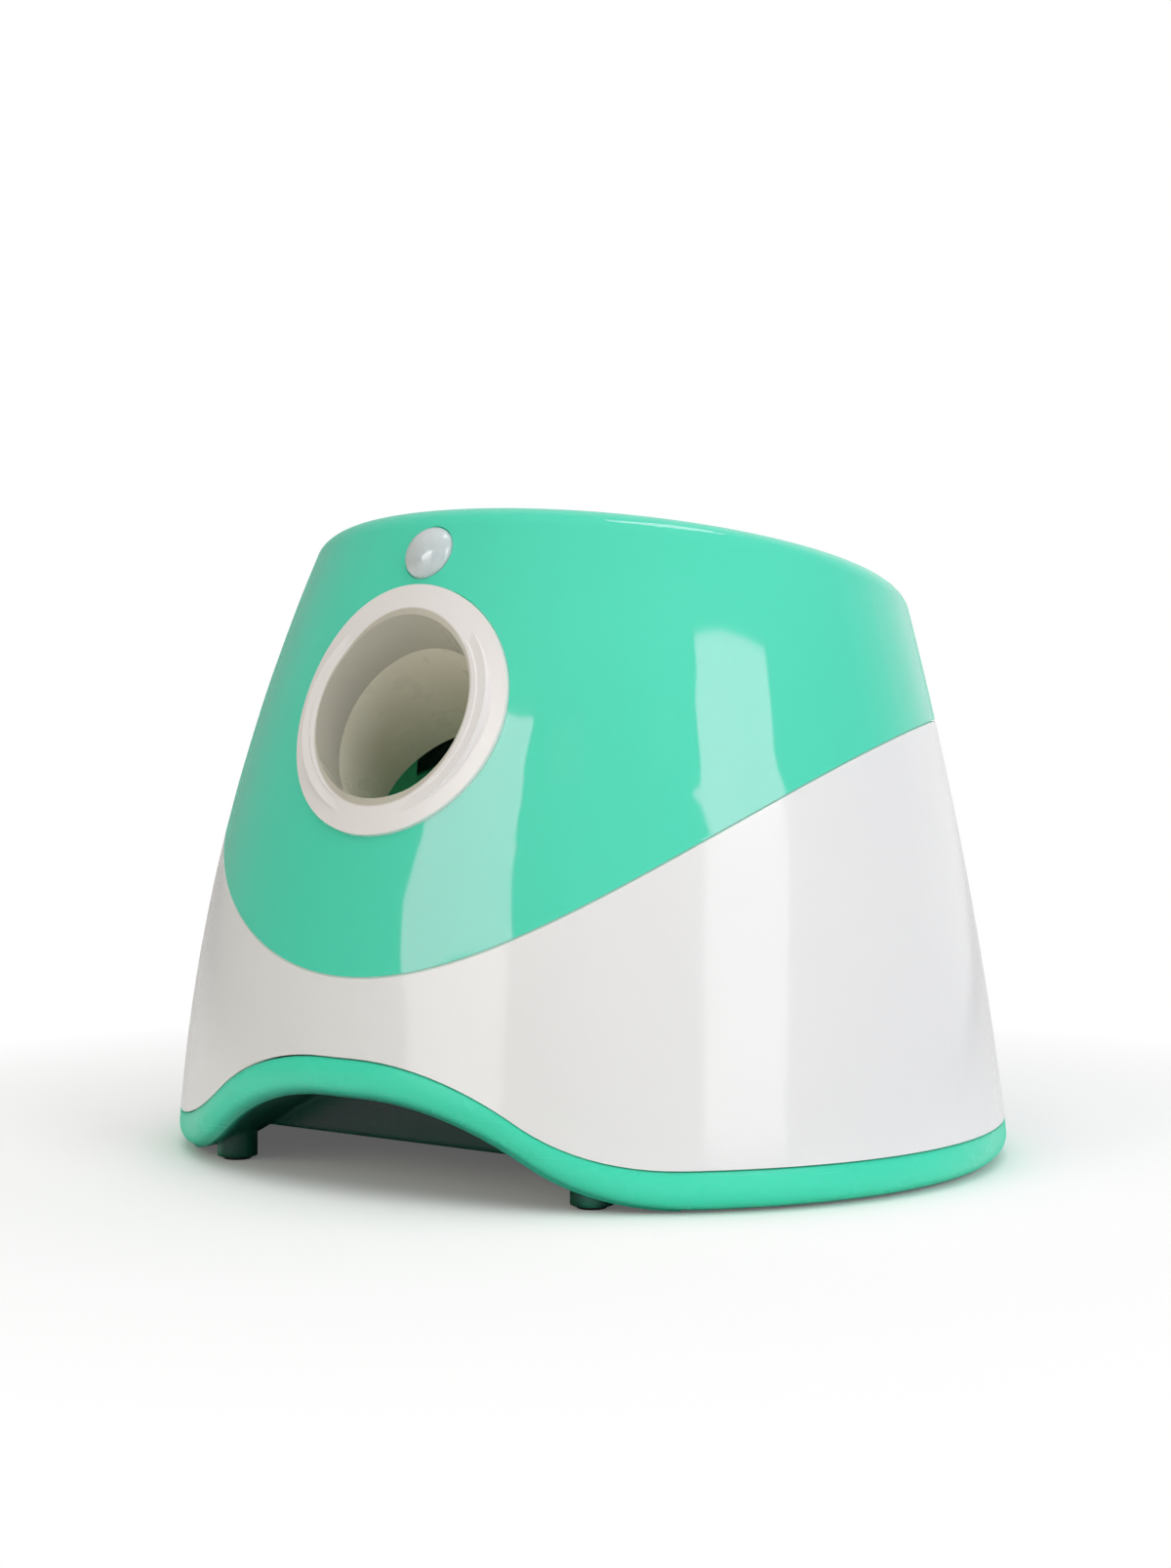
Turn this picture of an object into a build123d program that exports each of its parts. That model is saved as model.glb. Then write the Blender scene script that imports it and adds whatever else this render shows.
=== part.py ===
from build123d import *
import os
from math import acos, atan, atan2, cos, degrees, hypot, pi, radians, sin, sqrt, tan

# Automatic ball launcher: a leaning dome that stands on a waved skirt. Balls dropped in the
# tilted hopper roll down a chute to the seat behind the nozzle, where a spring hammer, cocked
# by a motor through a part-toothed gear, knocks them out of the launch tube.
# Millimetres. +Z up, the nozzle faces -Y, the origin is on the floor under the middle.

# ---------------------------------------------------------------- driving dimensions
ball_diameter = 50.0

# dome, gauged at floor level, at half the gauge height and at the gauge height
gauge_height = 200.0
foot_width = 266.0
middle_width = 234.2
crown_width = 175.6
depth_share = 0.914
foot_offset = 0.1
middle_offset = 0.3
crown_offset = 10.3
wall = 2.6
seam = 0.5
lap_height = 4.0
lap_wall = 1.6
lap_gap = 0.2

# tilted crown with the hopper opening
crown_height = 180.6
crown_slope = 11.2
shoulder_radius = 8.0
rim_inset = 13.0
hopper_wall = 2.2
hopper_flange = 4.0
hopper_waist_height = 151.0
outlet_height = 134.0
outlet_drop = 7.0
outlet_y = 34.0

# parting line between the two shells: level at the back, an arc at the front
parting_level = 132.0
parting_radius = 215.0
parting_start = 45.0

# waved skirt and floor pan
skirt_clear = 0.6
skirt_height = 11.0
skirt_wall = 9.5
skirt_rim = 7.0
skirt_rounding = 6.5
arch_rise = 26.6
arch_flat = 6.0
arch_crown_radius = 88.0
arch_toe_radius = 71.0
pan_height = 10.0
pan_wall = 2.4
front_recess = 39.0
rear_recess = 13.0
foot_x = 66.0
foot_y = 89.0
foot_pad_diameter = 9.0
foot_pad_height = 3.0
foot_pad_chamfer = 0.5
foot_post_diameter = 12.0
foot_post_clear = 1.0

# nozzle, launch tube and ball path
nozzle_height = 135.4
nozzle_tilt = 20.0
nozzle_recess = 1.2
bore_clearance = 2.4
bezel_diameter = 75.2
bezel_proud = 1.0
bezel_gap = 0.35
bezel_depth = 12.0
bezel_slope = 5.2
lip_proud = 0.3
lip_wall = 2.2
ledge_wall = 2.0
launch_angle = 40.0
tube_wall = 2.2
tube_length = 40.0
tube_flange = 6.0
seat_depth = 60.0
chute_clearance = 3.0
chute_wall = 2.5
feed_slope = 13.2
chute_side_height = 18.0

# eye above the nozzle
lens_height = 180.7
lens_diameter = 16.4
lens_dome = 4.2
lens_flange = 1.9
lens_lip = 1.0
lens_sunk = 0.9
lens_wall = 1.6
lens_board_depth = 9.0
pir_diameter = 9.2
pir_height = 4.0
pir_rim = 0.6

# hammer and gear train
hammer_reach = 50.0
hammer_width = 14.0
hammer_hub_diameter = 18.0
pad_thickness = 3.0
arm_half = 5.0
tail_reach = 16.0
pressure_angle = 25.0
backlash = 0.06
drive_module = 1.5
sector_teeth = 32
drive_teeth = 28
reduction_module = 1.0
wheel_teeth = 46
idler_pinion_teeth = 14
idler_wheel_teeth = 36
pinion_teeth = 12
drive_direction = 0.0
idler_direction = 62.0
motor_direction = -5.0
shaft_diameter = 6.0
axle_diameter = 4.0
motor_shaft_diameter = 2.3
running_fit = 0.05
plate_wall = 2.5
sector_face = 6.0
wheel_face = 4.0
idler_face = 3.3
layer_gap = 1.0
side_gap = 1.5
arm_gap = 2.4
bracket_x = -21.5
spring_x = -14.0
spring_diameter = 8.0
spring_wire = 1.2
spring_turns = 8
motor_diameter = 27.6
motor_length = 37.8

# six C cells in two columns of three
cell_diameter = 26.2
cell_length = 50.0
cell_pitch = 26.7
cell_row_count = 3
battery_front = 16.0
battery_wall = 1.6
contact_room = 4.0
door_gap = 0.5
door_pin_diameter = 1.8

# controls on the back
panel_height = 148.5
panel_width = 66.0
panel_depth = 21.0
panel_sunk = 0.4
panel_wall = 3.0
button_travel = 1.2
power_diameter = 13.0
distance_diameter = 10.0
button_proud = 1.4
button_clear = 0.3
jack_height = 53.0
jack_bore = 5.5
jack_pin = 2.1
jack_barrel = 8.4

# circuit boards
board_wall = 1.6
board_corner = 2.0
switch_size = 6.0
switch_height = 2.2
switch_body_height = 1.2
led_diameter = 3.0

# fasteners
screw_diameter = 2.8
screw_head = 5.4
screw_head_height = 1.8
screw_head_taper = 18.0
boss_diameter = 8.0
base_screw_length = 12.0
shell_screw_length = 10.0
gearbox_screw_length = 8.0
short_screw_length = 6.0
post_screw_diameter = 2.0
post_screw_head = 4.6

# how far a cutting solid runs past the face that it opens
cut_margin = 1.0

# ---------------------------------------------------------------- derived sizes
ball_radius = ball_diameter / 2
bore_radius = ball_radius + bore_clearance
chute_radius = ball_radius + chute_clearance
chute_outer = chute_radius + chute_wall
bezel_radius = bezel_diameter / 2
room = 2 * gauge_height


def through(height, foot, middle, crown):
    """Parabola through a value at the floor, at half and at full gauge height."""
    share = height / gauge_height
    low = foot * (1 - share) * (1 - 2 * share)
    high = crown * share * (2 * share - 1)
    return low + 4 * middle * share * (1 - share) + high


def half_width(height):
    return through(height, foot_width, middle_width, crown_width) / 2


def half_depth(height):
    return depth_share * half_width(height)


def centre_y(height):
    return through(height, foot_offset, middle_offset, crown_offset)


def front_y(height):
    return centre_y(height) - half_depth(height)


def back_y(height):
    return centre_y(height) + half_depth(height)


def lean(edge, height):
    """Angle from upright of the front or back line of the dome."""
    return degrees(atan(edge(height + 1) - edge(height)))


def polar(centre, radius, angle):
    """Point at a radius and angle round a (y, z) centre."""
    y = centre[0] + radius * cos(radians(angle))
    z = centre[1] + radius * sin(radians(angle))
    return (y, z)


def side_plane(x, centre=(0, 0)):
    """Plane square to X, with its origin on a (y, z) point and its axes along Y and Z."""
    return Plane(origin=(x, centre[0], centre[1]), x_dir=(0, 1, 0), z_dir=(1, 0, 0))


# crown plane and the ellipse where it meets the dome
crown_tilt = radians(crown_slope)
crown_plane = Plane(
    origin=(0, 0, crown_height), x_dir=(1, 0, 0), z_dir=(0, sin(crown_tilt), cos(crown_tilt))
)


def crown_reach(edge):
    """Distance along the crown plane from its origin to the front or back of the dome."""
    y = 0.0
    for _ in range(12):
        y = edge(crown_height - y * tan(crown_tilt))
    return y / cos(crown_tilt)


crown_front = crown_reach(front_y)
crown_back = crown_reach(back_y)
crown_middle = (crown_front + crown_back) / 2
crown_half_length = (crown_back - crown_front) / 2
crown_half_width = half_width(crown_height - crown_middle * sin(crown_tilt))

# nozzle frame: the mouth circle, and the launch axis that runs down and back from it
nozzle_y = front_y(nozzle_height) + nozzle_recess
nozzle_slant = radians(nozzle_tilt)
nozzle_plane = Plane(
    origin=(0, nozzle_y, nozzle_height),
    x_dir=(1, 0, 0),
    z_dir=(0, -cos(nozzle_slant), sin(nozzle_slant)),
)
launch_slant = radians(launch_angle)
inward = Vector(0, cos(launch_slant), -sin(launch_slant))
seat = polar((nozzle_y, nozzle_height), seat_depth, -launch_angle)
outlet_ball = (outlet_y, seat[1] + (outlet_y - seat[0]) * tan(radians(feed_slope)))
feed_length = (outlet_y - seat[0]) / cos(radians(feed_slope))


def launch_plane(distance):
    """Plane square to the launch axis at a distance behind the mouth."""
    y, z = polar((nozzle_y, nozzle_height), distance, -launch_angle)
    return Plane(origin=(0, y, z), x_dir=(1, 0, 0), z_dir=(0, inward.Y, inward.Z))


# hammer pivot: at rest the arm is square to the launch axis and its pad meets the ball
strike_angle = 90.0 - launch_angle
ball_back = polar(seat, ball_radius, -launch_angle)
arm_top = arm_half - 1.0
pad_face = arm_top + pad_thickness
pivot = polar(polar(ball_back, hammer_reach, strike_angle + 180), pad_face, strike_angle - 90)
head_half = 8.0
tip_radius = hypot(hammer_reach + head_half, head_half)

# gear centres
sector_radius = drive_module * sector_teeth / 2
drive_radius = drive_module * drive_teeth / 2
wheel_radius = reduction_module * wheel_teeth / 2
idler_small_radius = reduction_module * idler_pinion_teeth / 2
idler_radius = reduction_module * idler_wheel_teeth / 2
pinion_radius = reduction_module * pinion_teeth / 2
drive_centre = polar(pivot, sector_radius + drive_radius, drive_direction)
idler_centre = polar(drive_centre, wheel_radius + idler_small_radius, idler_direction)
motor_centre = polar(idler_centre, idler_radius + pinion_radius, motor_direction)

# layers of the gearbox along X
arm_side = hammer_width / 2
inner_plate_x = arm_side + arm_gap
inner_plate_end = inner_plate_x + plate_wall
sector_x = inner_plate_end + layer_gap
sector_end = sector_x + sector_face
wheel_x = sector_end + side_gap
wheel_end = wheel_x + wheel_face
idler_x = wheel_end + layer_gap
idler_end = idler_x + idler_face
outer_plate_x = idler_end + layer_gap
outer_plate_end = outer_plate_x + plate_wall
bracket_end = bracket_x - plate_wall

# skirt wave: crown arc and toe arcs that meet at one slope
arch_angle = degrees(acos(1 - arch_rise / (arch_crown_radius + arch_toe_radius)))
pan_top = pan_height + pan_wall

# battery box
battery_half_width = cell_length + contact_room + battery_wall
battery_length = cell_pitch * cell_row_count + 2 * battery_wall
battery_back = battery_front + battery_length
cell_height = pan_top + 1.0 + cell_diameter / 2
battery_top = cell_height + cell_diameter / 2 + 0.5 + battery_wall
door_half_width = battery_half_width - 2.0
door_front = battery_front + 2.0
door_back = battery_back - 2.0
pin_y = door_front + pan_wall / 2
pin_height = pan_height + pan_wall / 2


# ---------------------------------------------------------------- shared forms
def dome(inset):
    """Leaning dome as a loft of ellipses, drawn in by an inset."""
    level_count = 5
    with BuildPart() as form:
        for level in range(level_count):
            height = gauge_height * level / (level_count - 1)
            with BuildSketch(Plane.XY.offset(height)):
                with Locations((0, centre_y(height))):
                    Ellipse(half_width(height) - inset, half_depth(height) - inset)
        loft()
    return form.part


def crowned_dome(inset):
    """Dome cut by the tilted crown plane, with its rounded shoulder."""
    with BuildPart() as form:
        add(dome(inset))
        split(bisect_by=crown_plane.offset(-inset), keep=Keep.BOTTOM)
        rim = form.faces().sort_by(Axis.Z)[-1].edges()
        fillet(rim, max(shoulder_radius - inset, 1.0))
    return form.part


def crown_ellipse(inset):
    """Ellipse of the crown, drawn in by an inset, in crown plane axes."""
    with BuildSketch() as oval:
        with Locations((0, crown_middle)):
            Ellipse(crown_half_width - inset, crown_half_length - inset)
    return oval.sketch


def above_parting(shift):
    """Everything above the parting line raised by a shift."""
    with BuildPart() as region:
        with BuildSketch(Plane.YZ):
            with BuildLine():
                centre = (parting_start, parting_level - parting_radius)
                arc = CenterArc(centre, parting_radius + shift, 90, 65)
                front = arc @ 1
                back = arc @ 0
                Polyline(front, (-room, front.Y), (-room, room), (room, room), (room, back.Y), back)
            make_face()
        extrude(amount=room, both=True)
    return region.part


def below_wave(rise):
    """Everything below the waved line of the skirt raised by a rise."""
    floor = skirt_clear + rise
    turn = arch_angle
    toe = arch_toe_radius * sin(radians(turn))
    crown = arch_crown_radius * sin(radians(turn))
    with BuildPart() as region:
        with BuildSketch(Plane.XZ):
            with BuildLine():
                left = Line((-room, floor), (-arch_flat - crown - toe, floor))
                first = JernArc(left @ 1, (1, 0), arch_toe_radius, turn)
                rising = JernArc(first @ 1, first % 1, arch_crown_radius, -turn)
                top = Line(rising @ 1, (arch_flat, floor + arch_rise))
                falling = JernArc(top @ 1, (1, 0), arch_crown_radius, -turn)
                last = JernArc(falling @ 1, falling % 1, arch_toe_radius, turn)
                Polyline(last @ 1, (room, floor), (room, -room), (-room, -room), left @ 0)
            make_face()
        extrude(amount=room, both=True)
    return region.part


def axial_plane(plane):
    """Plane through another plane's normal, which becomes its Y axis, with the same X axis."""
    return Plane(origin=plane.origin, x_dir=plane.x_dir, z_dir=plane.x_dir.cross(plane.z_dir))


def rod(plane, radius, length):
    """Plain round rod along a plane's normal."""
    with BuildPart() as piece:
        with BuildSketch(plane):
            Circle(radius)
        extrude(amount=length)
    return piece.part


def screw(plane, length):
    """Pan-head screw, its head sitting on the plane and its shank running against the normal."""
    with BuildPart() as piece:
        with BuildSketch(plane):
            Circle(screw_diameter / 2)
        extrude(amount=-length)
        with BuildSketch(plane):
            Circle(screw_head / 2)
        extrude(amount=screw_head_height, taper=screw_head_taper)
    return piece.part


def ribbed_bosses(places, radius, rib_width, rib_reach):
    """Round bosses, each with a rib that runs outwards along X to the wall."""
    with BuildSketch() as bosses:
        with Locations(*places):
            Circle(radius)
        for x, y in places:
            outwards = 1 if x > 0 else -1
            with Locations((x + outwards * rib_reach / 2, y)):
                Rectangle(rib_reach, rib_width)
    return bosses.sketch


def involute(angle):
    return tan(angle) - angle


def gear_outline(teeth, module, kept, middle):
    """Involute wheel outline on the XY plane. Of the full count of teeth, the kept ones are
    there, centred on the middle angle."""
    pitch_radius = module * teeth / 2
    pressure = radians(pressure_angle)
    base_radius = pitch_radius * cos(pressure)
    root_radius = pitch_radius - 1.25 * module
    tip_radius = pitch_radius + module
    tooth_half = pi / (2 * teeth) - backlash / pitch_radius / 2

    def flank_point(radius):
        roll = acos(min(1.0, base_radius / radius))
        half_angle = tooth_half + involute(pressure) - involute(roll)
        return (radius * cos(half_angle), radius * sin(half_angle))

    start_radius = max(base_radius, root_radius)
    with BuildSketch() as tooth:
        with BuildLine():
            inner = flank_point(root_radius)
            foot = flank_point(start_radius + 0.01)
            flank = ThreePointArc(foot, flank_point((start_radius + tip_radius) / 2),
                                  flank_point(tip_radius))
            sunk = (root_radius * 0.98, inner[1])
            low = Polyline((root_radius * 0.98, 0), sunk, inner, foot)
            mirror(low, about=Plane.XZ)
            mirror(flank, about=Plane.XZ)
            tip = flank @ 1
            Line(tip, (tip.X, -tip.Y))
        make_face()
    step = 360 / teeth
    with BuildSketch() as outline:
        Circle(root_radius)
        with PolarLocations(0, kept, middle - step * (kept - 1) / 2, step * kept):
            add(tooth.sketch)
    return outline.sketch


# ---------------------------------------------------------------- housing shells
panel_plane = Plane(
    origin=(0, back_y(panel_height), panel_height),
    x_dir=(-1, 0, 0),
    z_dir=(0, cos(radians(lean(back_y, panel_height))), -sin(radians(lean(back_y, panel_height)))),
)
lens_plane = Plane(
    origin=(0, front_y(lens_height), lens_height),
    x_dir=(1, 0, 0),
    z_dir=(0, -cos(radians(lean(front_y, lens_height))), sin(radians(lean(front_y, lens_height)))),
)
jack_plane = Plane(
    origin=(0, back_y(jack_height), jack_height), x_dir=(-1, 0, 0), z_dir=(0, 1, 0)
)
lens_radius = lens_diameter / 2
lens_seat = wall + lens_sunk
shell_boss_places = [(92.0, -25.0), (88.0, 42.0), (-88.0, 42.0), (-92.0, -25.0)]
base_boss_places = [(105.0, -50.0), (105.0, 50.0), (-105.0, 50.0), (-105.0, -50.0)]
ear_wall = 3.0
rib_wall = 2.0
rib_reach = 16.0


def parting_height(y):
    """Height of the parting line over a Y."""
    drop = max(parting_start - y, 0.0)
    return parting_level - parting_radius + sqrt(parting_radius**2 - drop**2)


front_ear_height = parting_height(shell_boss_places[0][1] - boss_diameter / 2) - seam
rear_ear_height = parting_height(shell_boss_places[1][1] - boss_diameter / 2) - seam
boss_top = 168.0
base_boss_top = 62.0

outer_form = crowned_dome(0)
inner_form = crowned_dome(wall)
half_inner_form = crowned_dome(wall / 2)
dome_form = dome(0)
above_seam = above_parting(seam / 2)

# opening through the crown, a little smaller than the hopper's flange
with BuildPart() as crown_opening:
    with BuildSketch(crown_plane.offset(cut_margin)):
        add(crown_ellipse(rim_inset))
    extrude(amount=-wall - 2 * cut_margin)

# thick ring behind the bezel, which screws to it
with BuildPart() as ledge:
    with BuildSketch(nozzle_plane.offset(-room / 4)):
        Circle(bezel_radius + bezel_gap + ledge_wall)
    extrude(amount=room / 2)
    add(half_inner_form, mode=Mode.INTERSECT)
    add(crowned_dome(wall + ledge_wall), mode=Mode.SUBTRACT)

# recess that the bezel's flange lies in, and the hole for its sleeve
with BuildPart() as bezel_recess:
    with BuildSketch(nozzle_plane.offset(-room / 8)):
        Circle(bezel_radius + bezel_gap)
    extrude(amount=room / 4)
    add(inner_form, mode=Mode.SUBTRACT)

with BuildPart() as upper_shell:
    add(outer_form)
    add(inner_form, mode=Mode.SUBTRACT)
    add(ledge.part)
    with BuildSketch(Plane.XY.offset(front_ear_height + seam)):
        with Locations(*shell_boss_places[::3]):
            Circle(boss_diameter / 2)
    extrude(amount=boss_top - front_ear_height)
    with BuildSketch(Plane.XY.offset(rear_ear_height + seam)):
        with Locations(*shell_boss_places[1:3]):
            Circle(boss_diameter / 2)
    extrude(amount=boss_top - rear_ear_height)
    add(outer_form, mode=Mode.INTERSECT)
    add(above_seam, mode=Mode.INTERSECT)
    add(crown_opening.part, mode=Mode.SUBTRACT)
    add(bezel_recess.part, mode=Mode.SUBTRACT)
    with BuildSketch(nozzle_plane.offset(-room / 8)):
        Circle(bore_radius + tube_flange + 2 * bezel_gap)
    extrude(amount=room / 4, mode=Mode.SUBTRACT)
    with BuildSketch(lens_plane.offset(-2 * wall)):
        Circle(lens_radius + bezel_gap)
    extrude(amount=4 * wall, mode=Mode.SUBTRACT)
    with BuildSketch(lens_plane.offset(-lens_seat + seam)):
        Circle(lens_radius + lens_lip + bezel_gap)
    extrude(amount=-4 * wall, mode=Mode.SUBTRACT)
    with BuildSketch(panel_plane.offset(-3 * wall)):
        SlotOverall(panel_width + 2 * bezel_gap, panel_depth + 2 * bezel_gap)
    extrude(amount=6 * wall, mode=Mode.SUBTRACT)
    with BuildSketch(Plane.XY.offset(front_ear_height - ear_wall)):
        with Locations(*shell_boss_places):
            Circle(screw_diameter / 2)
    extrude(amount=shell_screw_length + parting_level - front_ear_height, mode=Mode.SUBTRACT)
upper_shell.part.label = "upper_shell"

below_seam_cut = above_parting(-seam / 2)
lap_top_cut = above_parting(lap_height)
lap_foot_cut = above_parting(-lap_height)

# inner lip that the upper shell drops over
with BuildPart() as lap:
    add(crowned_dome(wall + lap_gap))
    add(crowned_dome(wall + lap_gap + lap_wall), mode=Mode.SUBTRACT)
    add(lap_foot_cut, mode=Mode.INTERSECT)
    add(lap_top_cut, mode=Mode.SUBTRACT)
    with BuildSketch(Plane.XY):
        with Locations(*shell_boss_places):
            Circle(boss_diameter / 2 + cut_margin)
        with Locations((0, nozzle_y)):
            Rectangle(2 * (bezel_radius + wall + ledge_wall + cut_margin), 2 * bezel_radius)
    extrude(amount=room, mode=Mode.SUBTRACT)

# root of the lip, merged with the wall
with BuildPart() as lap_root:
    add(half_inner_form)
    add(crowned_dome(wall + lap_gap + lap_wall), mode=Mode.SUBTRACT)
    add(lap_foot_cut, mode=Mode.INTERSECT)
    add(above_parting(-cut_margin), mode=Mode.SUBTRACT)

with BuildPart() as lower_shell:
    add(dome_form)
    add(dome(wall), mode=Mode.SUBTRACT)
    with BuildSketch(Plane.XY.offset(pan_top)):
        add(ribbed_bosses(base_boss_places, boss_diameter / 2, rib_wall, rib_reach))
    extrude(amount=base_boss_top - pan_top)
    for height, places in ((front_ear_height, shell_boss_places[::3]),
                           (rear_ear_height, shell_boss_places[1:3])):
        with BuildSketch(Plane.XY.offset(height - ear_wall)):
            add(ribbed_bosses(places, boss_diameter / 2, boss_diameter, rib_reach))
        extrude(amount=ear_wall)
    add(dome_form, mode=Mode.INTERSECT)
    add(lap_root.part)
    add(below_seam_cut, mode=Mode.SUBTRACT)
    add(below_wave(skirt_height + seam), mode=Mode.SUBTRACT)
    add(lap.part)
    with BuildSketch(Plane.XY.offset(pan_top)):
        with Locations(*base_boss_places):
            Circle(screw_diameter / 2)
    extrude(amount=base_screw_length, mode=Mode.SUBTRACT)
    with BuildSketch(Plane.XY.offset(front_ear_height - 2 * ear_wall)):
        with Locations(*shell_boss_places):
            Circle(screw_diameter / 2)
    extrude(amount=parting_level - front_ear_height + 4 * ear_wall, mode=Mode.SUBTRACT)
    with BuildSketch(jack_plane.offset(-3 * wall)):
        Circle(jack_barrel / 2 + bezel_gap)
    extrude(amount=6 * wall, mode=Mode.SUBTRACT)
lower_shell.part.label = "lower_shell"


# ---------------------------------------------------------------- base with waved skirt
tower_places = [(-40.0, -22.0), (40.0, -22.0)]
tower_height = 100.0
tower_diameter = 9.0
gearbox_foot_y = (pivot[0] - 8.0, 4.0)
gearbox_tab = 9.0
tab_width = 8.0
tab_overlap = 1.0
tab_wall = 3.0
foot_places = [(-foot_x, -foot_y), (foot_x, -foot_y), (-foot_x, foot_y), (foot_x, foot_y)]
spacer_radius = 3.0
spacer_places = [
    polar(pivot, tail_reach + 4.0, -138),
    polar(motor_centre, motor_diameter / 2 + 4.0, 30),
    polar(pivot, sector_radius + 8.5, 47),
]
spring_post = (drive_centre[0] - 8.5, pan_top + 6.6)
stop_reach = 16.0
stop_radius = 4.0
stop_pin_radius = 2.0
stop_gap = 0.3
arm_foot = polar(pivot, stop_reach, strike_angle)
stop_centre = polar(arm_foot, arm_top + stop_radius + stop_gap, strike_angle + 90)
plate_rim = 4.0
tab_screw_y = (gearbox_foot_y[0] + tab_width / 2, gearbox_foot_y[1] - tab_width / 2)
bracket_screw_y = (tab_screw_y[0], spring_post[0] + 2.0)
gearbox_screw_places = [
    (outer_plate_end + gearbox_tab / 2, tab_screw_y[0]),
    (outer_plate_end + gearbox_tab / 2, tab_screw_y[1]),
    (bracket_end - gearbox_tab / 2, bracket_screw_y[0]),
    (bracket_end - gearbox_tab / 2, bracket_screw_y[1]),
]

front_wall_y = front_y(0) + front_recess
rear_wall_y = back_y(0) - rear_recess
wave = below_wave(0)

# room for the battery box inside the skirt, above the pan
with BuildPart() as skirt_hollow:
    add(dome(skirt_rim))
    with BuildSketch(Plane.XY.offset(pan_top)):
        Rectangle(room, room)
    extrude(amount=room, mode=Mode.INTERSECT)

with BuildPart() as skirt:
    add(dome_form)
    add(dome(skirt_wall), mode=Mode.SUBTRACT)
    add(below_wave(skirt_height), mode=Mode.INTERSECT)
    add(wave, mode=Mode.SUBTRACT)
    outside = skirt.faces().sort_by(SortBy.AREA)[-1]
    low_rim = outside.edges().filter_by(lambda edge: wave.distance_to(edge @ 0.5) < seam / 5)
    fillet(low_rim, skirt_rounding)
    add(skirt_hollow.part, mode=Mode.SUBTRACT)

# vaults that close the two arches of the skirt towards the inside
with BuildPart() as vaults:
    add(dome(skirt_wall / 2))
    add(below_wave(pan_wall), mode=Mode.INTERSECT)
    add(below_wave(0), mode=Mode.SUBTRACT)
    with BuildSketch(Plane.XY):
        with Locations((0, (front_wall_y + rear_wall_y) / 2)):
            Rectangle(foot_width, rear_wall_y - front_wall_y)
    extrude(amount=room, mode=Mode.SUBTRACT)

# upright walls at the inner ends of the vaults
with BuildPart() as vault_walls:
    with BuildSketch(Plane.XY.offset(pan_height)):
        with Locations((0, front_wall_y + pan_wall / 2), (0, rear_wall_y - pan_wall / 2)):
            Rectangle(foot_width, pan_wall)
    extrude(amount=arch_rise)
    add(below_wave(pan_wall), mode=Mode.INTERSECT)
    add(dome(skirt_wall / 2), mode=Mode.INTERSECT)

with BuildPart() as pan:
    add(dome(wall + seam))
    with BuildSketch(Plane.XY.offset(pan_height)):
        with Locations((0, (front_wall_y + rear_wall_y) / 2)):
            Rectangle(foot_width, rear_wall_y - front_wall_y)
    extrude(amount=pan_wall, mode=Mode.INTERSECT)

with BuildPart() as base:
    add(skirt.part)
    add(pan.part)
    add(vaults.part)
    add(vault_walls.part)
    with BuildSketch(Plane.XY.offset(foot_post_clear)):
        with Locations(*foot_places):
            Circle(foot_post_diameter / 2)
    extrude(amount=pan_top - foot_post_clear)
    with BuildSketch(Plane.XY.offset(pan_top)):
        with Locations(*tower_places):
            Circle(tower_diameter / 2)
    extrude(amount=tower_height - pan_top)
    with BuildSketch(Plane.XY):
        with Locations(*foot_places):
            Circle(foot_pad_diameter / 2)
    extrude(amount=foot_pad_height, mode=Mode.SUBTRACT)
    with BuildSketch(Plane.XY):
        with Locations((0, (door_front + door_back) / 2)):
            Rectangle(2 * (door_half_width + door_gap), door_back - door_front + 2 * door_gap)
    extrude(amount=pan_top, mode=Mode.SUBTRACT)
    with BuildSketch(side_plane(-door_half_width - 3 * door_gap - door_pin_diameter,
                                (pin_y, pin_height))):
        Circle(door_pin_diameter / 2 + running_fit)
    extrude(amount=2 * (door_half_width + 3 * door_gap + door_pin_diameter), mode=Mode.SUBTRACT)
    with BuildSketch(Plane.XY.offset(pan_height)):
        with Locations(*base_boss_places, *gearbox_screw_places):
            Circle(screw_diameter / 2 + running_fit)
    extrude(amount=pan_wall, mode=Mode.SUBTRACT)
    with BuildSketch(Plane.XY.offset(tower_height - short_screw_length)):
        with Locations(*tower_places):
            Circle(screw_diameter / 2)
    extrude(amount=short_screw_length, mode=Mode.SUBTRACT)
base.part.label = "base"

with BuildPart() as rubber_feet:
    with BuildSketch(Plane.XY):
        with Locations(*foot_places):
            Circle(foot_pad_diameter / 2)
    extrude(amount=foot_pad_height)
    chamfer(rubber_feet.edges().group_by(Axis.Z)[0], foot_pad_chamfer)
rubber_feet.part.label = "rubber_feet"

# screws that hold the base to the lower shell, and the lower shell to the upper one
with BuildPart() as base_screws:
    for x, y in base_boss_places:
        add(screw(Plane(origin=(x, y, pan_height), z_dir=(0, 0, -1)), base_screw_length))
base_screws.part.label = "base_screws"

with BuildPart() as shell_screws:
    ear_levels = [front_ear_height, rear_ear_height, rear_ear_height, front_ear_height]
    for (x, y), level in zip(shell_boss_places, ear_levels):
        under = Plane(origin=(x, y, level - ear_wall), z_dir=(0, 0, -1))
        add(screw(under, shell_screw_length))
shell_screws.part.label = "shell_screws"


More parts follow.
